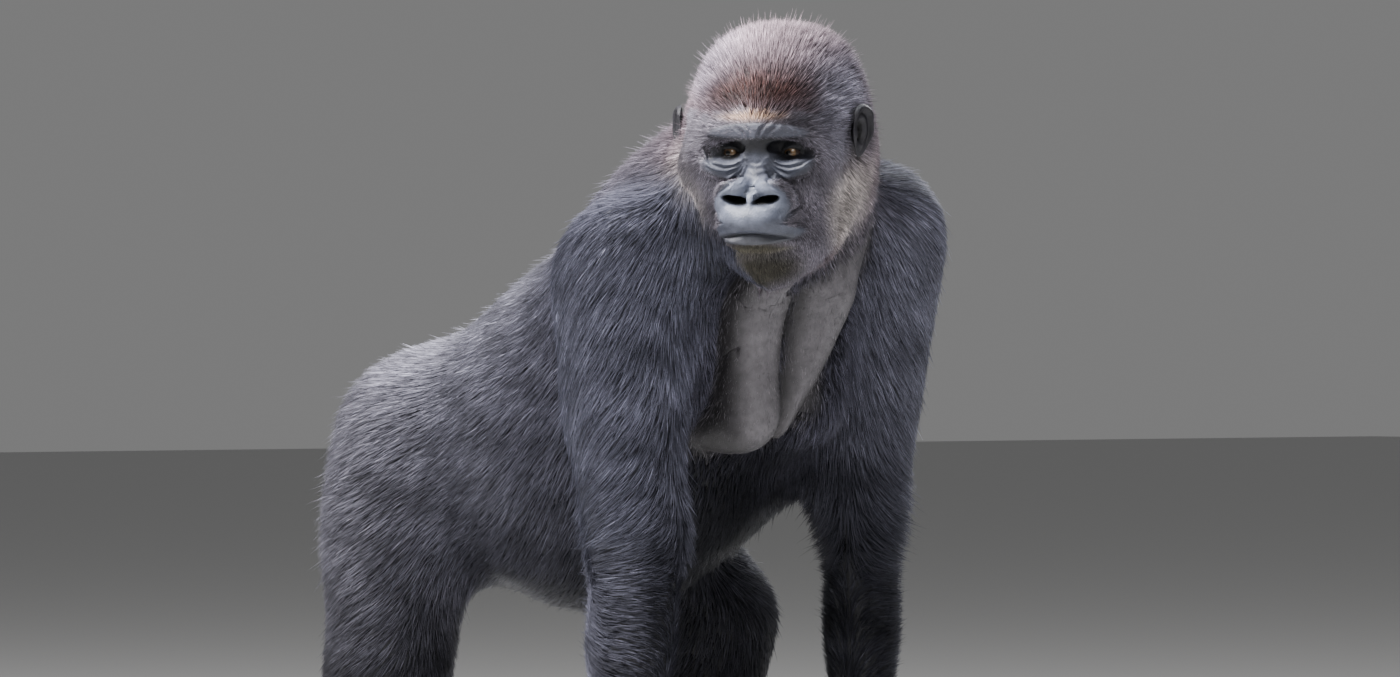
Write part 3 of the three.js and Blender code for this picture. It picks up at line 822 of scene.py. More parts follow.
def coatTone(points, part, q):
    table = np.array([forPart(toneOf, name) for name in bodyParts])
    tone = table[part].copy()
    onHead = np.isin(part, headParts)
    for middle, size, colour, share in headMarksAndHighlight:
        away = ovalAway(q, middle, size)
        amount = share * (1 - smoothStep(away, 0.45, 1.25)) * onHead * smoothStep(q[:, 2], -170, -110)
        tone += amount[:, None] * (np.array(colour) - tone)
    for middle, size, colour, share in bodyPaintedLightAndMarks:
        away = ovalAway(points / millimetre, middle, size)
        amount = share * (1 - smoothStep(away, 0.4, 1.3)) * ~onHead
        tone += amount[:, None] * (np.array(colour) - tone)
    mottle = 1 + 0.16 * waves(points, 0.11, 3) + 0.10 * waves(points, 0.035, 4)
    return tone * np.clip(mottle, 0.5, 1.6)[:, None]


def skinTone(q, bare, lobes, lobeGap, tone, hole):
    # colour of the skin and how glossy it is, with painted shade round the eyes, in the nostrils and at the
    # edges of the chest lobes
    colour = tone * 0.45
    face = np.tile(skinTones["face"], (len(q), 1))
    side = np.abs(q[:, 0])
    # painted shade: round the eye opening and in a band under the brow the skin is painted with the
    # near-black orbit tone
    lidShade = inZone(side, q[:, 1], (34, 0.5), (15.5, 8), (0.8, 1.15))
    shadow = smoothStep(q[:, 1], -7 - 0.14 * side, 8 - 0.14 * side)
    shadow *= (1 - smoothStep(q[:, 1], 16, 20)) * (1 - smoothStep(side, 58, 72))
    dark = np.maximum(0.95 * shadow, lidShade)
    nose = inZone(q[:, 0], q[:, 1], (0, -51), (44, 27), (0.7, 1.1))
    lips = inZone(q[:, 0], q[:, 1], (0, -91), (56, 8), (0.6, 1.1))
    for amount, name in ((nose, "nose"), (lips, "lips"), (dark, "orbit"), (hole, "nostril")):
        face += amount[:, None] * (np.array(skinTones[name]) - face)
    colour += bare[:, None] * (face - colour)
    # painted shade: each lobe darkens towards its edge and the groove between the lobes
    lobeTone = np.array(skinTones["lobes"]) * (0.12 + 0.88 * smoothStep(-lobeGap, 0, 24))[:, None]
    lobeTone *= 1 + 0.14 * waves(q, 90, 31)[:, None]
    colour += (0.9 * lobes)[:, None] * (lobeTone - colour)
    return colour, np.maximum(nose * (1 - hole), 0.5 * lips) * bare


# which way the hair lies on each part: a way in the world, and how strongly it fans out from the nape
nape = (-0.05, -0.24, 0.86)
lieOf = {
    "chest": ((0, 0.30, -0.55), 0.9),
    "belly": ((0, 0.80, -0.45), 0),
    "rump": ((0, 0.75, -0.70), 0),
    "neck": ((0, 0.25, -0.60), 0),
    "upper_arm_left": ((0.25, 0.15, -0.9), 0.9),
    "upper_arm_right": ((-0.25, 0.30, -0.9), 0.6),
    "forearm_left": ((0.85, 0.30, 0.30), 0),
    "forearm_right": ((-0.85, 0.35, 0.30), 0),
    "hand_left": ((0.3, -0.2, -0.8), 0),
    "hand_right": ((-0.3, -0.2, -0.8), 0),
    "thigh_left": ((0.1, 0.85, -0.45), 0),
    "thigh_right": ((-0.1, 0.85, -0.40), 0),
    "shin_left": ((0, 0.45, -0.8), 0),
    "shin_right": ((0, 0.45, -0.8), 0),
    "foot_left": ((0, -0.8, -0.4), 0),
    "foot_right": ((0, -0.8, -0.4), 0),
}


def headLie(q):
    # back from the brow over the crown, outwards and down over the cheeks, down from the chin
    crown = unit(q - np.array([0, 20, 14])) * np.array([0.9, 0.8, 1.0]) + np.array([0, 0, -0.75])
    outwards = 0.45 * np.sign(q[:, 0]) * smoothStep(np.abs(q[:, 0]), 20, 70)
    cheek = np.column_stack((outwards, np.full(len(q), -0.9), np.full(len(q), -0.35)))
    low = smoothStep(-q[:, 1], -24, 12)[:, None]
    chin = (smoothStep(-q[:, 1], 84, 104) * smoothStep(q[:, 2], -50, -10))[:, None]
    way = crown * (1 - low) + cheek * low
    return way * (1 - chin) + np.array([0, -1, -0.05]) * chin


def lieField(points, normals, part, q, edges):
    way = np.zeros_like(points)
    for name, (base, spread) in lieOf.items():
        here = part == bodyParts.index(name)
        way[here] = unit(np.array([base], float))
        if spread:
            way[here] += spread * unit(points[here] - np.array(nape))
    onHead = np.isin(part, headParts)
    way[onHead] = turnFromHead(unit(headLie(q[onHead])))
    way = unit(way)
    for _ in range(6):
        way = relax(way, edges, 6, 0.6)
        way -= (way * normals).sum(1)[:, None] * normals
        way = unit(way)
    swirl = np.column_stack([waves(points, 0.16, seed) for seed in (11, 12, 13)])
    way += 0.07 * swirl
    way -= (way * normals).sum(1)[:, None] * normals
    return unit(way)


def trianglesOf(mesh):
    mesh.calc_loop_triangles()
    corners = np.empty(len(mesh.loop_triangles) * 3, np.int32)
    loops = np.empty(len(mesh.loop_triangles) * 3, np.int32)
    mesh.loop_triangles.foreach_get("vertices", corners)
    mesh.loop_triangles.foreach_get("loops", loops)
    return corners.reshape(-1, 3), loops.reshape(-1, 3)


# pieces of the coat: the parts each covers and how many tufts it has
coatPieces = {
    "coat.head": (("head",), 49000),
    "coat.face": (("face",), 49000),
    "coat.chest": (("chest", "neck"), 49000),
    "coat.belly": (("belly",), 36000),
    "coat.rump": (("rump", "thigh_left", "thigh_right"), 49000),
    "coat.rightArm": (("upper_arm_right", "forearm_right", "hand_right"), 49000),
    "coat.leftArm": (("upper_arm_left", "forearm_left", "hand_left"), 49000),
    "coat.shins": (("shin_left", "shin_right", "foot_left", "foot_right"), 33000),
}
tuft = {
    "sunk": 0.0016,
    "clumpEvery": 9,
    "clumpPull": 0.34,
    "jitter": 0.12,
    "patch": 0.0015,
    "spread": 0.48,
    "stray": 0.035,
    "floor": 0.0004,
    "rootShade": 0.4,
    # how much paler the tips are than the tone: partly paler hair ends, partly painted sheen; rootShade is
    # painted shade at the roots
    "headTips": 2.35,
    "bodyTips": 2.75,
}
throatCoat = {1: 16.0, 2: 0.85, 3: 3.5}        # length, width and rise of the tufts under the chin
# the points of a tuft: left, right and under its root, and its tip
tuftFaces = np.array([(0, 1, 3), (2, 0, 3), (2, 3, 1), (2, 1, 0)])
tuftPatch = np.array([(-1, -1), (-1, 1), (-1, 0), (1, 0)])
# where the hair stands out: middle and size in millimetres, how much longer and how much higher
shaggy = [
    ((-185, -265, 475), (75, 80, 75), 0.45, 1.6),      # elbows
    ((150, -185, 480), (75, 80, 75), 0.45, 1.6),
    ((-260, -190, 470), (60, 70, 70), 0.2, 1.0),
    ((-20, -250, 590), (110, 80, 60), 0.2, 0.8),       # under the chest lobes
    ((-200, 330, 560), (110, 90, 170), 0.2, 0.9),      # back of the hips
    ((150, 330, 560), (110, 90, 170), 0.2, 0.9),
    ((-20, -110, 880), (150, 120, 90), 0.1, 0.7),      # withers
]


def readSkin(piece):
    mesh = piece.data
    corners, loops = trianglesOf(mesh)
    patch = np.empty(len(mesh.loops) * 2)
    mesh.uv_layers["OFBake"].data.foreach_get("uv", patch)
    points = pointsOf(mesh)
    tree = BVHTree.FromPolygons(points.tolist(), corners.tolist())
    return {
        "points": points,
        "normals": normalsOf(mesh),
        "corners": corners,
        "loops": loops,
        "patch": patch.reshape(-1, 2),
        "tree": tree,
    }


def scatterRoots(surface, weight, count):
    corners = surface["corners"]
    flat = surface["points"][corners]
    areas = np.linalg.norm(np.cross(flat[:, 1] - flat[:, 0], flat[:, 2] - flat[:, 0]), axis=1) / 2
    share = areas * weight[corners].mean(1)
    steps = (np.arange(count) + rng.random(count)) / count
    chosen = np.searchsorted(np.cumsum(share) / share.sum(), steps)
    chosen = np.minimum(chosen, len(corners) - 1)
    a, b = rng.random(count), rng.random(count)
    flip = a + b > 1
    a[flip], b[flip] = 1 - a[flip], 1 - b[flip]
    return chosen, np.column_stack((1 - a - b, a, b))


def mixed(values, corners, bary):
    return np.einsum("ij,ijk->ik", bary, values[corners])


def dropOnSkin(surface, points):
    landed, owner = np.empty_like(points), np.empty(len(points), np.int32)
    find = surface["tree"].find_nearest
    for index, point in enumerate(points):
        spot, _, face, _ = find(point)
        landed[index], owner[index] = spot, face
    corners = surface["corners"][owner]
    flat = surface["points"][corners]
    gaps = np.linalg.norm(flat - landed[:, None, :], axis=2)
    bary = 1 / np.maximum(gaps, 1e-6)
    return landed, corners, bary / bary.sum(1)[:, None]


def layTufts(surface, field, root, way, length, rise):
    # each tuft follows the skin from its root by way of its middle, and its tip stands off
    middle, middleCorners, middleShares = dropOnSkin(surface, root + way * (length * 0.5)[:, None])
    onward = unit(0.55 * way + 0.45 * mixed(field["lie"], middleCorners, middleShares))
    tip, tipCorners, tipShares = dropOnSkin(surface, middle + onward * (length * 0.5)[:, None])
    tip += unit(mixed(surface["normals"], tipCorners, tipShares)) * rise[:, None]
    return middle, tip


def clumpTips(middle, tip, length):
    # tips lean towards the nearest leader's, so that the coat falls in locks
    count = len(tip)
    leaders = np.arange(0, count, tuft["clumpEvery"])
    tree = KDTree(len(leaders))
    for index in leaders:
        tree.insert(middle[index], int(index))
    tree.balance()
    leader = np.array([tree.find(point)[1] for point in middle])
    pull = tuft["clumpPull"] * rng.uniform(0.4, 1.2, count)[:, None]
    near = np.exp(-(np.linalg.norm(tip - tip[leader], axis=1) / (0.6 * length)) ** 2)[:, None]
    return tip + pull * near * (tip[leader] - tip)


def colourTufts(field, corners, bary, root):
    count = len(root)
    tone = mixed(field["tone"], corners, bary)
    patchy = 1 + 0.25 * waves(root, 0.05, 21)
    gain = np.exp(tuft["spread"] * rng.normal(size=count)) * np.clip(patchy, 0.6, 1.5)
    tips = mixed(field["tips"][:, None], corners, bary)[:, 0]
    shares = np.stack((np.full(count, tuft["rootShade"]),) * 3 + (tips,), axis=1) * gain[:, None]
    colours = np.ones((count, 4, 4))
    colours[:, :, :3] = tone[:, None, :] * shares[:, :, None]
    return colours


def makeCoatPiece(name, surface, field, parts, count):
    inside = np.isin(field["part"], [bodyParts.index(part) for part in parts])
    weight = field["values"][:, 4] * np.where(inside, 1, 0) * field["cover"]
    chosen, bary = scatterRoots(surface, weight, count)
    corners = surface["corners"][chosen]
    root = mixed(surface["points"], corners, bary)
    normal = unit(mixed(surface["normals"], corners, bary))
    way = unit(mixed(field["lie"], corners, bary))
    length, width, rise = (mixed(field["values"][:, 1:4], corners, bary) * millimetre).T
    cover = mixed(field["cover"][:, None], corners, bary)[:, 0]
    length = length * rng.uniform(0.72, 1.25, count) * (0.35 + 0.65 * cover)
    stray = np.where(rng.random(count) < tuft["stray"], 1.9, 1.0)
    rise = rise * rng.uniform(0.5, 1.3, count) * (0.4 + 0.6 * cover) * stray
    width = width * rng.uniform(0.75, 1.2, count) * (0.45 + 0.55 * cover)
    way = unit(way + tuft["jitter"] * rng.normal(size=(count, 3)))
    middle, tip = layTufts(surface, field, root, way, length, rise)
    tip = clumpTips(middle, tip, length)
    across = unit(np.cross(normal, way)) * (0.5 * width)[:, None]
    below = root - normal * (tuft["sunk"] + 0.3 * width)[:, None]
    base = root - normal * (0.4 * tuft["sunk"])
    vertices = np.stack((base - across, base + across, below, tip), axis=1)
    vertices[:, :, 2] = np.maximum(vertices[:, :, 2], tuft["floor"])
    uvRoot = mixed(surface["patch"], surface["loops"][chosen], bary)
    patches = uvRoot[:, None, :] + tuftPatch[None] * tuft["patch"]
    return buildTufts(name, vertices, colourTufts(field, corners, bary, root), patches)


def buildTufts(name, vertices, colours, patches):
    count = len(vertices)
    mesh = bpy.data.meshes.new(name)
    mesh.vertices.add(count * 4)
    mesh.vertices.foreach_set("co", vertices.astype(np.float32).ravel())
    faces = (tuftFaces[None] + 4 * np.arange(count)[:, None, None]).reshape(-1, 3)
    mesh.loops.add(faces.size)
    mesh.loops.foreach_set("vertex_index", faces.astype(np.int32).ravel())
    mesh.polygons.add(len(faces))
    mesh.polygons.foreach_set("loop_start", np.arange(0, faces.size, 3, dtype=np.int32))
    mesh.polygons.foreach_set("use_smooth", np.ones(len(faces), bool))
    layer = mesh.uv_layers.new(name="OFBake")
    layer.data.foreach_set("uv", patches.reshape(-1, 2)[faces.ravel()].astype(np.float32).ravel())
    attribute = mesh.color_attributes.new("tone", "FLOAT_COLOR", "POINT")
    attribute.data.foreach_set("color", colours.astype(np.float32).ravel())
    mesh.update()
    mesh.validate()
    piece = bpy.data.objects.new(name, mesh)
    bpy.context.scene.collection.objects.link(piece)
    return piece


class Value:
    # a shader socket that takes part in sums
    def __init__(self, tree, socket):
        self.tree, self.socket = tree, socket

    def maths(self, operation, other, swapped=False):
        node = self.tree.nodes.new("ShaderNodeMath")
        node.operation = operation
        pair = (other, self) if swapped else (self, other)
        for socket, item in zip(node.inputs, pair):
            if isinstance(item, Value):
                self.tree.links.new(item.socket, socket)
            else:
                socket.default_value = item
        return Value(self.tree, node.outputs[0])

    def also(self, output):
        # another output of the same node
        return Value(self.tree, self.socket.node.outputs[output])

    def __add__(self, other):
        return self.maths("ADD", other)

    def __sub__(self, other):
        return self.maths("SUBTRACT", other)

    def __mul__(self, other):
        return self.maths("MULTIPLY", other)

    def __radd__(self, other):
        return self.maths("ADD", other, True)

    def __rsub__(self, other):
        return self.maths("SUBTRACT", other, True)

    def __rmul__(self, other):
        return self.maths("MULTIPLY", other, True)


class Surface:
    # a material with its nodes made by one method
    def __init__(self, name, **finish):
        self.material = bpy.data.materials.new(name)
        self.material.use_nodes = True
        self.tree = self.material.node_tree
        self.shader = self.tree.nodes["Principled BSDF"]
        for socket, value in finish.items():
            self.shader.inputs[socket.replace("_", " ")].default_value = value

    def node(self, kind, settings=None, output=0, **values):
        made = self.tree.nodes.new("ShaderNode" + kind)
        for name, value in (settings or {}).items():
            setattr(made, name, value)
        for name, value in values.items():
            counted = name[0] == "i" and name[1:].isdigit()
            self.put(made.inputs[int(name[1:]) if counted else name.replace("_", " ")], value)
        return Value(self.tree, made.outputs[output])

    def put(self, socket, value):
        if isinstance(value, Value):
            self.tree.links.new(value.socket, socket)
        else:
            socket.default_value = value

    def paint(self, **inputs):
        for name, value in inputs.items():
            self.put(self.shader.inputs[name.replace("_", " ")], value)
        return self.material


def coatMaterial():
    blueTint = (0.8, 0.86, 1.0, 1.0)
    look = Surface("coat", Roughness=0.36, Specular_IOR_Level=0.07, Specular_Tint=blueTint, Sheen_Weight=0.01)
    tone = look.node("Attribute", {"attribute_name": "tone"}, "Color")
    return look.paint(Base_Color=tone)


def skinMaterial():
    look = Surface("skin", IOR=1.45, Specular_IOR_Level=0.35)
    tone = look.node("Attribute", {"attribute_name": "tone"}, "Color")
    finish = look.node("Attribute", {"attribute_name": "finish"}, "Color")
    bare = look.node("SeparateColor", None, 0, Color=finish)
    gloss = bare.also(1)
    place = look.node("TexCoord", None, "Object")
    pores = look.node("TexNoise", None, "Fac", Vector=place, Scale=620.0, Detail=3.0, Roughness=0.6)
    folds = look.node("TexVoronoi", {"feature": "DISTANCE_TO_EDGE"}, "Distance", Vector=place, Scale=260.0)
    mottle = look.node("TexNoise", None, "Fac", Vector=place, Scale=90.0, Detail=4.0)
    span = {"From_Min": 0.3, "From_Max": 0.7, "To_Min": 0.72, "To_Max": 1.2}
    patchy = look.node("MapRange", None, "Result", Value=mottle, **span)
    height = pores * 0.6 + folds * 0.5 * bare
    bump = look.node("Bump", None, "Normal", Strength=0.7, Distance=0.0014, Height=height)
    shade = look.node("Mix", {"data_type": "RGBA", "blend_type": "MULTIPLY"}, 2, i0=1.0, i6=tone, i7=patchy)
    rough = 0.62 - bare * 0.12 - gloss * 0.14 + (pores - 0.5) * 0.12
    return look.paint(Base_Color=shade, Roughness=rough, Normal=bump)


def paintPoints(mesh, name, colours):
    attribute = mesh.color_attributes.new(name, "FLOAT_COLOR", "POINT")
    opaque = np.column_stack((colours, np.ones(len(colours))))
    attribute.data.foreach_set("color", opaque.astype(np.float32).ravel())


# eyes
eye = {
    "radius": 12.3,
    "segments": 64,
    "rings": 48,
    "pupil": 14.0,                 # half angles in degrees
    "iris": 38.0,
    "limbus": 44.0,
    "bulge": 0.7,
    "gaze": (-0.24, 0.0, 1.0),
    "amber": (0.125, 0.078, 0.040),
    "inner": (0.055, 0.028, 0.012),
    "white": (0.030, 0.018, 0.014),
    "black": (0.002, 0.002, 0.002),
}


def makeEye(side):
    clearSelection()
    size = {"segments": eye["segments"], "ring_count": eye["rings"], "radius": eye["radius"]}
    bpy.ops.mesh.primitive_uv_sphere_add(**size)
    piece = bpy.context.object
    piece.name = "eye.left" if side > 0 else "eye.right"
    mesh = piece.data
    local = pointsOf(mesh)
    angle = np.degrees(np.arctan2(np.hypot(local[:, 0], local[:, 1]), local[:, 2]))
    turn = np.arctan2(local[:, 1], local[:, 0])
    streak = 1 + 0.22 * np.sin(turn * 23 + 1.3 * np.sin(turn * 7)) + 0.14 * np.sin(turn * 41 + 2)
    inIris = smoothStep(angle, eye["pupil"] - 1.2, eye["pupil"] + 1.0)
    inIris *= 1 - smoothStep(angle, eye["iris"] - 3, eye["limbus"])
    lit = 0.22 + 1.1 * smoothStep(local[:, 0] - 0.2 * local[:, 1], -2, 6)
    amber = np.array(eye["amber"]) * (streak * lit)[:, None]
    ring = bell(angle - eye["pupil"] - 2, 3.5)[:, None]
    amber += ring * (np.array(eye["inner"]) - amber) * 0.7
    white = np.tile(eye["white"], (len(local), 1))
    tone = white * smoothStep(angle, eye["iris"], eye["limbus"] + 3)[:, None] + amber * inIris[:, None]
    tone += np.array(eye["black"])
    local *= (1 + eye["bulge"] / eye["radius"] * (1 - smoothStep(angle, 8, eye["limbus"] + 4)))[:, None]
    ahead = unit(np.array([eye["gaze"]]))[0]
    across = unit(np.cross([0, 1, 0], ahead)[None])[0]
    over = np.cross(ahead, across)
    q = local @ np.array([across, over, ahead]) + np.array([side * head["eyeSpread"], 0, -head["eyeRadius"]])
    setPoints(mesh, fromHead(q))
    paintPoints(mesh, "tone", tone)
    bpy.ops.object.shade_smooth()
    mesh.uv_layers[0].name = "OFBake"
    mesh.materials.append(eyeMaterial())
    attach(piece, "root")
    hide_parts("eye_left" if side > 0 else "eye_right")


def eyeMaterial():
    look = Surface("eye", Roughness=0.16, IOR=1.36, Coat_Weight=0.3, Coat_Roughness=0.04)
    return look.paint(Base_Color=look.node("Attribute", {"attribute_name": "tone"}, "Color"))


# ears
ear = {"height": 59.0, "width": 33.0, "thick": 3.4, "out": 25.0, "back": 9.0, "tone": (0.022, 0.021, 0.026)}
earPlace = {1: (97.0, 21.0, -60.0), -1: (110.0, 21.0, -76.0)}


def earShape(unitPoints):
    # a cupped plate with a rolled rim, an inner ridge and a deep bowl, facing +z, its front edge at +x
    x, y, z = unitPoints.T
    reach = np.arccos(np.clip(np.abs(z), 0, 1)) / (math.pi / 2)
    turn = np.arctan2(y, x)
    flatX, flatY = reach * np.cos(turn), reach * np.sin(turn)
    flatX *= 1 + 0.45 * smoothStep(flatY, 0.25, 0.95)
    upper = smoothStep(flatY, -0.75, -0.1)
    rear = smoothStep(-flatX, -0.75, 0.1)
    rim = 3.4 * bell(reach - 0.85, 0.12) * np.maximum(upper * rear, smoothStep(flatY, 0.3, 0.7))
    furrow = -1.6 * bell(reach - 0.68, 0.08) * upper * rear
    inner = 2.6 * bell(np.hypot(flatX - 0.12, (flatY + 0.02) * 0.85) - 0.46, 0.10)
    inner *= smoothStep(-flatX, -0.35, 0.1)
    bowl = -6.5 * inZone(flatX, flatY, (0.22, -0.02), (0.40, 0.46), (0.35, 1.0))
    flap = 2.6 * bell(np.hypot(flatX - 0.74, (flatY + 0.14) * 0.8), 0.17)
    edge = np.sqrt(np.clip(1 - reach ** 6, 0, 1))
    fade = smoothStep(1 - reach, 0, 0.08)
    front = ear["thick"] * 0.5 * edge + (rim + furrow + inner + bowl + flap) * fade
    rearBulge = 1 - smoothStep(np.hypot(flatX - 0.22, flatY + 0.02), 0.2, 0.75)
    rearSide = -ear["thick"] * 0.5 * edge - 6.0 * fade * rearBulge
    height = np.where(z >= 0, front, rearSide)
    narrow = 1 - 0.30 * smoothStep(-flatY, 0.0, 1.0) - 0.08 * smoothStep(flatY, 0.6, 1.0)
    cup = 4.0 * flatX * flatX
    across = flatX * narrow * ear["width"] / 2 + 1.5 * flatY
    return np.column_stack((across, flatY * ear["height"] / 2, height + cup))


def makeEar(side):
    clearSelection()
    bpy.ops.mesh.primitive_uv_sphere_add(segments=64, ring_count=56, radius=1)
    piece = bpy.context.object
    mesh = piece.data
    local = earShape(pointsOf(mesh))
    out, back = math.radians(ear["out"]), math.radians(ear["back"])
    facing = np.array([side * math.cos(out), 0, math.sin(out)])
    fore = np.array([-side * math.sin(out), 0, math.cos(out)])
    over = np.array([0, math.cos(back), 0]) - fore * math.sin(back)
    q = local[:, :1] * fore + local[:, 1:2] * over + local[:, 2:] * facing
    setPoints(mesh, fromHead(q + np.array(earPlace[side]) * np.array([side, 1, 1])))
    if side < 0:
        bpy.ops.object.mode_set(mode="EDIT")
        bpy.ops.mesh.select_all(action="SELECT")
        bpy.ops.mesh.flip_normals()
        bpy.ops.object.mode_set(mode="OBJECT")
    # painted shade: the bowl and the back of the ear, the points below 0.6 mm, are painted five times darker
    deep = local[:, 2] < 0.6
    tone = np.tile(ear["tone"], (len(local), 1)) * np.where(deep, 0.2, 1.0)[:, None]
    paintPoints(mesh, "tone", relax(tone, edgesOf(mesh), 3, 0.5))
    paintPoints(mesh, "finish", np.tile([1.0, 0.35, 0.0], (len(local), 1)))
    bpy.ops.object.shade_smooth()
    mesh.uv_layers[0].name = "OFBake"
    piece.name = "ear.left" if side > 0 else "ear.right"
    mesh.materials.append(bpy.data.materials["skin"])
    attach(piece, "root")
    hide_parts("ear_left" if side > 0 else "ear_right")


# nails
nail = {
    "toe": (5.2, 6.2, 1.3),        # half width, length and thickness
    "bigToe": (7.5, 8.5, 1.6),
    "finger": (5.6, 6.6, 1.3),
    "thumb": (6.0, 7.0, 1.4),
    "curve": 11.0,
    "clear": 10.0,
}
soles = {-1: ((-159.6, 352.6), 12.0), 1: ((192.4, 181.6), 14.0)}
wrists = {-1: (-233.6, -241.4), 1: (184.4, -151.4)}


def nailPlaces():
    # a size, a place in millimetres and the way each nail faces
    places = []
    for side, ((x, y), toeOut) in soles.items():
        turn = math.radians(side * toeOut)
        across = np.array([side * math.cos(turn), side * math.sin(turn)])
        ahead = np.array([math.sin(turn), -math.cos(turn)])
        tips = [(-14 + i * 22, 183 - 9 * i - 3 * i * i, 34, "toe") for i in range(4)]
        tips.append((-69, 148, 42, "bigToe"))
        for out, reach, up, kind in tips:
            spot = np.array([x, y]) + across * out + ahead * reach
            places.append((kind, (*spot, up), (*(ahead * 0.4), 0.9)))
    for side, (x, y) in wrists.items():
        for i in range(4):
            bend = 6 - 4 * abs(i - 1.3)
            places.append(("finger", (x + side * (i - 1.5) * 24, y + 14 - bend, 24), (0, 0.9, -0.3)))
        places.append(("thumb", (x - side * 61, y - 22, 56), (-side * 0.5, -0.85, 0.1)))
    return places


def makeNails(surface):
    pieces, cleared = [], []
    for kind, place, facing in nailPlaces():
        spot, normal, _, _ = surface["tree"].find_nearest(Vector(place) * millimetre)
        clearSelection()
        bpy.ops.mesh.primitive_uv_sphere_add(segments=16, ring_count=10, radius=1)
        piece = bpy.context.object
        up = (Vector(normal) * 0.8 + Vector(facing).normalized() * 0.4).normalized()
        ahead = Vector((facing[0], facing[1], 0)) if kind in ("toe", "bigToe") else Vector((0, 0, -1))
        tip = (ahead - up * ahead.dot(up)).normalized()
        across = tip.cross(up)
        wide, long, thick = nail[kind]
        local = pointsOf(piece.data) * np.array([wide, long, thick])
        local[:, 2] -= (local[:, 0] ** 2 + 0.7 * local[:, 1] ** 2) / (2 * nail["curve"])
        frame3 = np.array([across, tip, up])
        stand = np.array(spot) + np.array(up) * 0.5 * millimetre
        setPoints(piece.data, (local @ frame3) * millimetre + stand)
        cleared.append(np.array(spot) - np.array(tip) * 3 * millimetre)
        bpy.ops.object.shade_smooth()
        pieces.append(piece)
    clearSelection()
    for piece in pieces:
        piece.select_set(True)
    bpy.context.view_layer.objects.active = pieces[0]
    bpy.ops.object.join()
    nails = bpy.context.object
    nails.name = "nails"
    nails.data.uv_layers[0].name = "OFBake"
    nails.data.materials.clear()
    nails.data.materials.append(Surface("nail", Roughness=0.55, Base_Color=(0.020, 0.018, 0.018, 1)).material)
    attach(nails, "root")
    return np.array(cleared)


def dressField(surface, field, edges):
    # the lie, colour, size and cover of the coat at every point of the skin
    points, q, part, values = surface["points"], field["q"], field["part"], field["values"]
    onHead = np.isin(part, headParts)
    field["lie"] = lieField(points, surface["normals"], part, q, edges)
    tone = coatTone(points, part, q)
    body = (np.linalg.norm(q - np.array([0, 0, -40]), axis=1) > 150)[:, None]
    for _ in range(4):
        tone += body * (relax(tone, edges, 6, 0.6) - tone)
    tone = relax(tone, edges, 4, 0.5)
    field["cover"] = (1 - field["bare"]) * (1 - 0.6 * field["lobes"])
    lobeGap = lobeAway(points)[0]
    values[:, 1] *= 1 - 0.55 * (1 - smoothStep(lobeGap, 6, 40))
    values[:, 2] *= 1 - 0.6 * field["lobes"]
    values[:, 3] *= 1 - 0.85 * field["lobes"]
    for middle, size, longer, higher in shaggy:
        reach = bell(ovalAway(points / millimetre, middle, size), 0.8)
        values[:, 1] *= 1 + longer * reach
        values[:, 3] *= 1 + higher * reach
    away = np.hypot(q[:, 0] / 62, (q[:, 1] + 30) / 78)
    onFace = (part == bodyParts.index("face")) & (q[:, 2] > -50)
    values[:, 1] *= np.where(onFace, 0.5 + 0.5 * smoothStep(away, 0.75, 1.4), 1)
    throat = bell(ovalAway(q, (-10, -128, -20), (85, 42, 70)), 0.9)
    throat *= ~onHead
    for column, wanted in throatCoat.items():
        values[:, column] += throat * (wanted - values[:, column])
    # painted shade: the coat under the chin is painted darker
    tone *= (1 - 0.55 * throat)[:, None]
    values[:, 3] *= 1 + 0.45 * (smoothStep(q[:, 1], 60, 120) * onHead)
    tone += field["lobes"][:, None] * (0.55 * np.array(skinTones["lobes"]) - tone)
    field["tone"] = tone
    field["tips"] = np.where(onHead, tuft["headTips"], tuft["bodyTips"])
    places = [np.array(earPlace[side]) * np.array([side, 1, 1]) for side in (-1, 1)]
    nearEar = np.min([ovalAway(q, place, (27, 33, 22)) for place in places], axis=0)
    field["cover"] *= np.where(onHead, 0.12 + 0.88 * smoothStep(nearEar, 0.75, 1.05), 1)
    return lobeGap


def clearNails(surface, field, spots):
    # keeps the coat off the nails
    away = np.min([np.linalg.norm(surface["points"] - spot, axis=1) for spot in spots], axis=0) / millimetre
    field["cover"] *= smoothStep(away, 0.75 * nail["clear"], nail["clear"])


def paintSkin(piece, field, lobeGap):
    bare, lobed = field["bare"], field["lobes"]
    colour, gloss = skinTone(field["q"], bare, lobed, lobeGap, field["tone"], field["nostril"])
    paintPoints(piece.data, "tone", colour)
    paintPoints(piece.data, "finish", np.column_stack((np.maximum(bare, lobed), gloss, 0 * gloss)))
    piece.data.materials.append(skinMaterial())


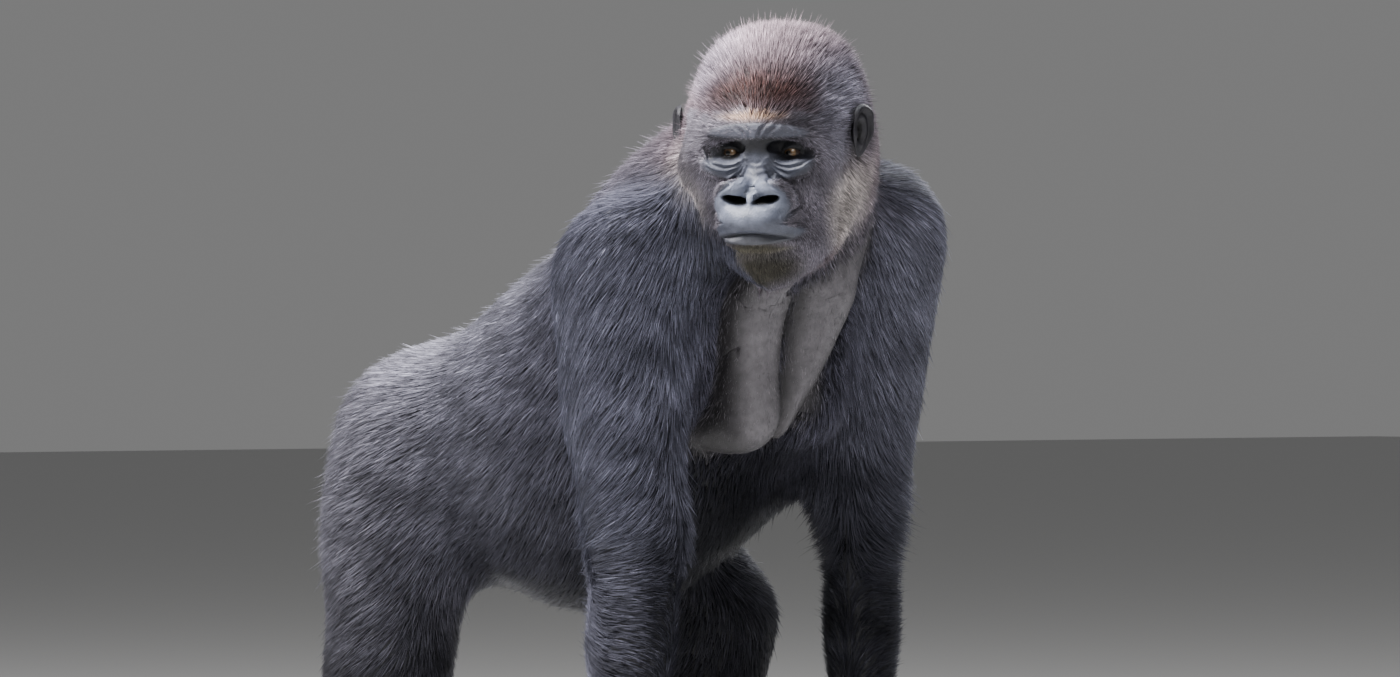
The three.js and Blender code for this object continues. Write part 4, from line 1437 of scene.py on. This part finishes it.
makeHeadFrame()
makeCamera()
skinPiece, field = makeSkin()
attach(skinPiece, "root")
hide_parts(*bodyParts)
surface = readSkin(skinPiece)
lobeGap = dressField(surface, field, edgesOf(skinPiece.data))
paintSkin(skinPiece, field, lobeGap)
fur = coatMaterial()
for side in (-1, 1):
    makeEye(side)
    makeEar(side)
clearNails(surface, field, makeNails(surface))
print("eyes, ears and nails made")
for name, (parts, count) in coatPieces.items():
    piece = makeCoatPiece(name, surface, field, parts, count)
    piece.data.materials.append(fur)
    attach(piece, "root")
    print(name, "made,", len(piece.data.polygons), "triangles")


# floor and light
studio = {"floorSize": 60.0, "floorTone": 0.5, "air": 0.2}
lamps = {        # place, aim, size in metres, power and tone
    "key": ((-2.3, 0.7, 4.1), (0, 0, 0.7), 1.6, 860, (1.0, 0.985, 0.97)),
    "front": ((-3.0, -4.2, 3.2), (0, -0.2, 0.8), 2.4, 110, (1.0, 0.99, 0.98)),
    "top": ((0.3, 0.2, 3.6), (0, 0, 0.6), 2.2, 130, (0.9, 0.95, 1.0)),
    "rim": ((3.0, 1.4, 2.2), (0, 0, 0.7), 1.6, 50, (0.95, 0.97, 1.0)),
}


def makeStudio():
    clearSelection()
    bpy.ops.mesh.primitive_plane_add(size=studio["floorSize"], location=(0, 0, 0))
    floor = bpy.context.object
    floor.name = "floor"
    pale = (*[studio["floorTone"]] * 3, 1)
    floor.data.materials.append(Surface("paleFloor", Base_Color=pale, Roughness=0.7).material)
    floor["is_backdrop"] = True
    for name, (place, aim, size, power, tone) in lamps.items():
        data = bpy.data.lights.new(name, "AREA")
        data.shape = "DISK"
        data.size = size
        data.energy = power
        data.color = tone
        light = bpy.data.objects.new(name, data)
        bpy.context.scene.collection.objects.link(light)
        light.location = place
        light.rotation_euler = (Vector(aim) - Vector(place)).to_track_quat("-Z", "Y").to_euler()
    world = bpy.data.worlds.new("studio")
    bpy.context.scene.world = world
    world.use_nodes = True
    world.node_tree.nodes["Background"].inputs["Color"].default_value = (*[studio["air"]] * 3, 1)
    print("studio lit")


makeStudio()
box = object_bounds()
sizes = {"cad": cadBox, "visual": box}
sizes = {name: [list(map(float, corner)) for corner in corners] for name, corners in sizes.items()}
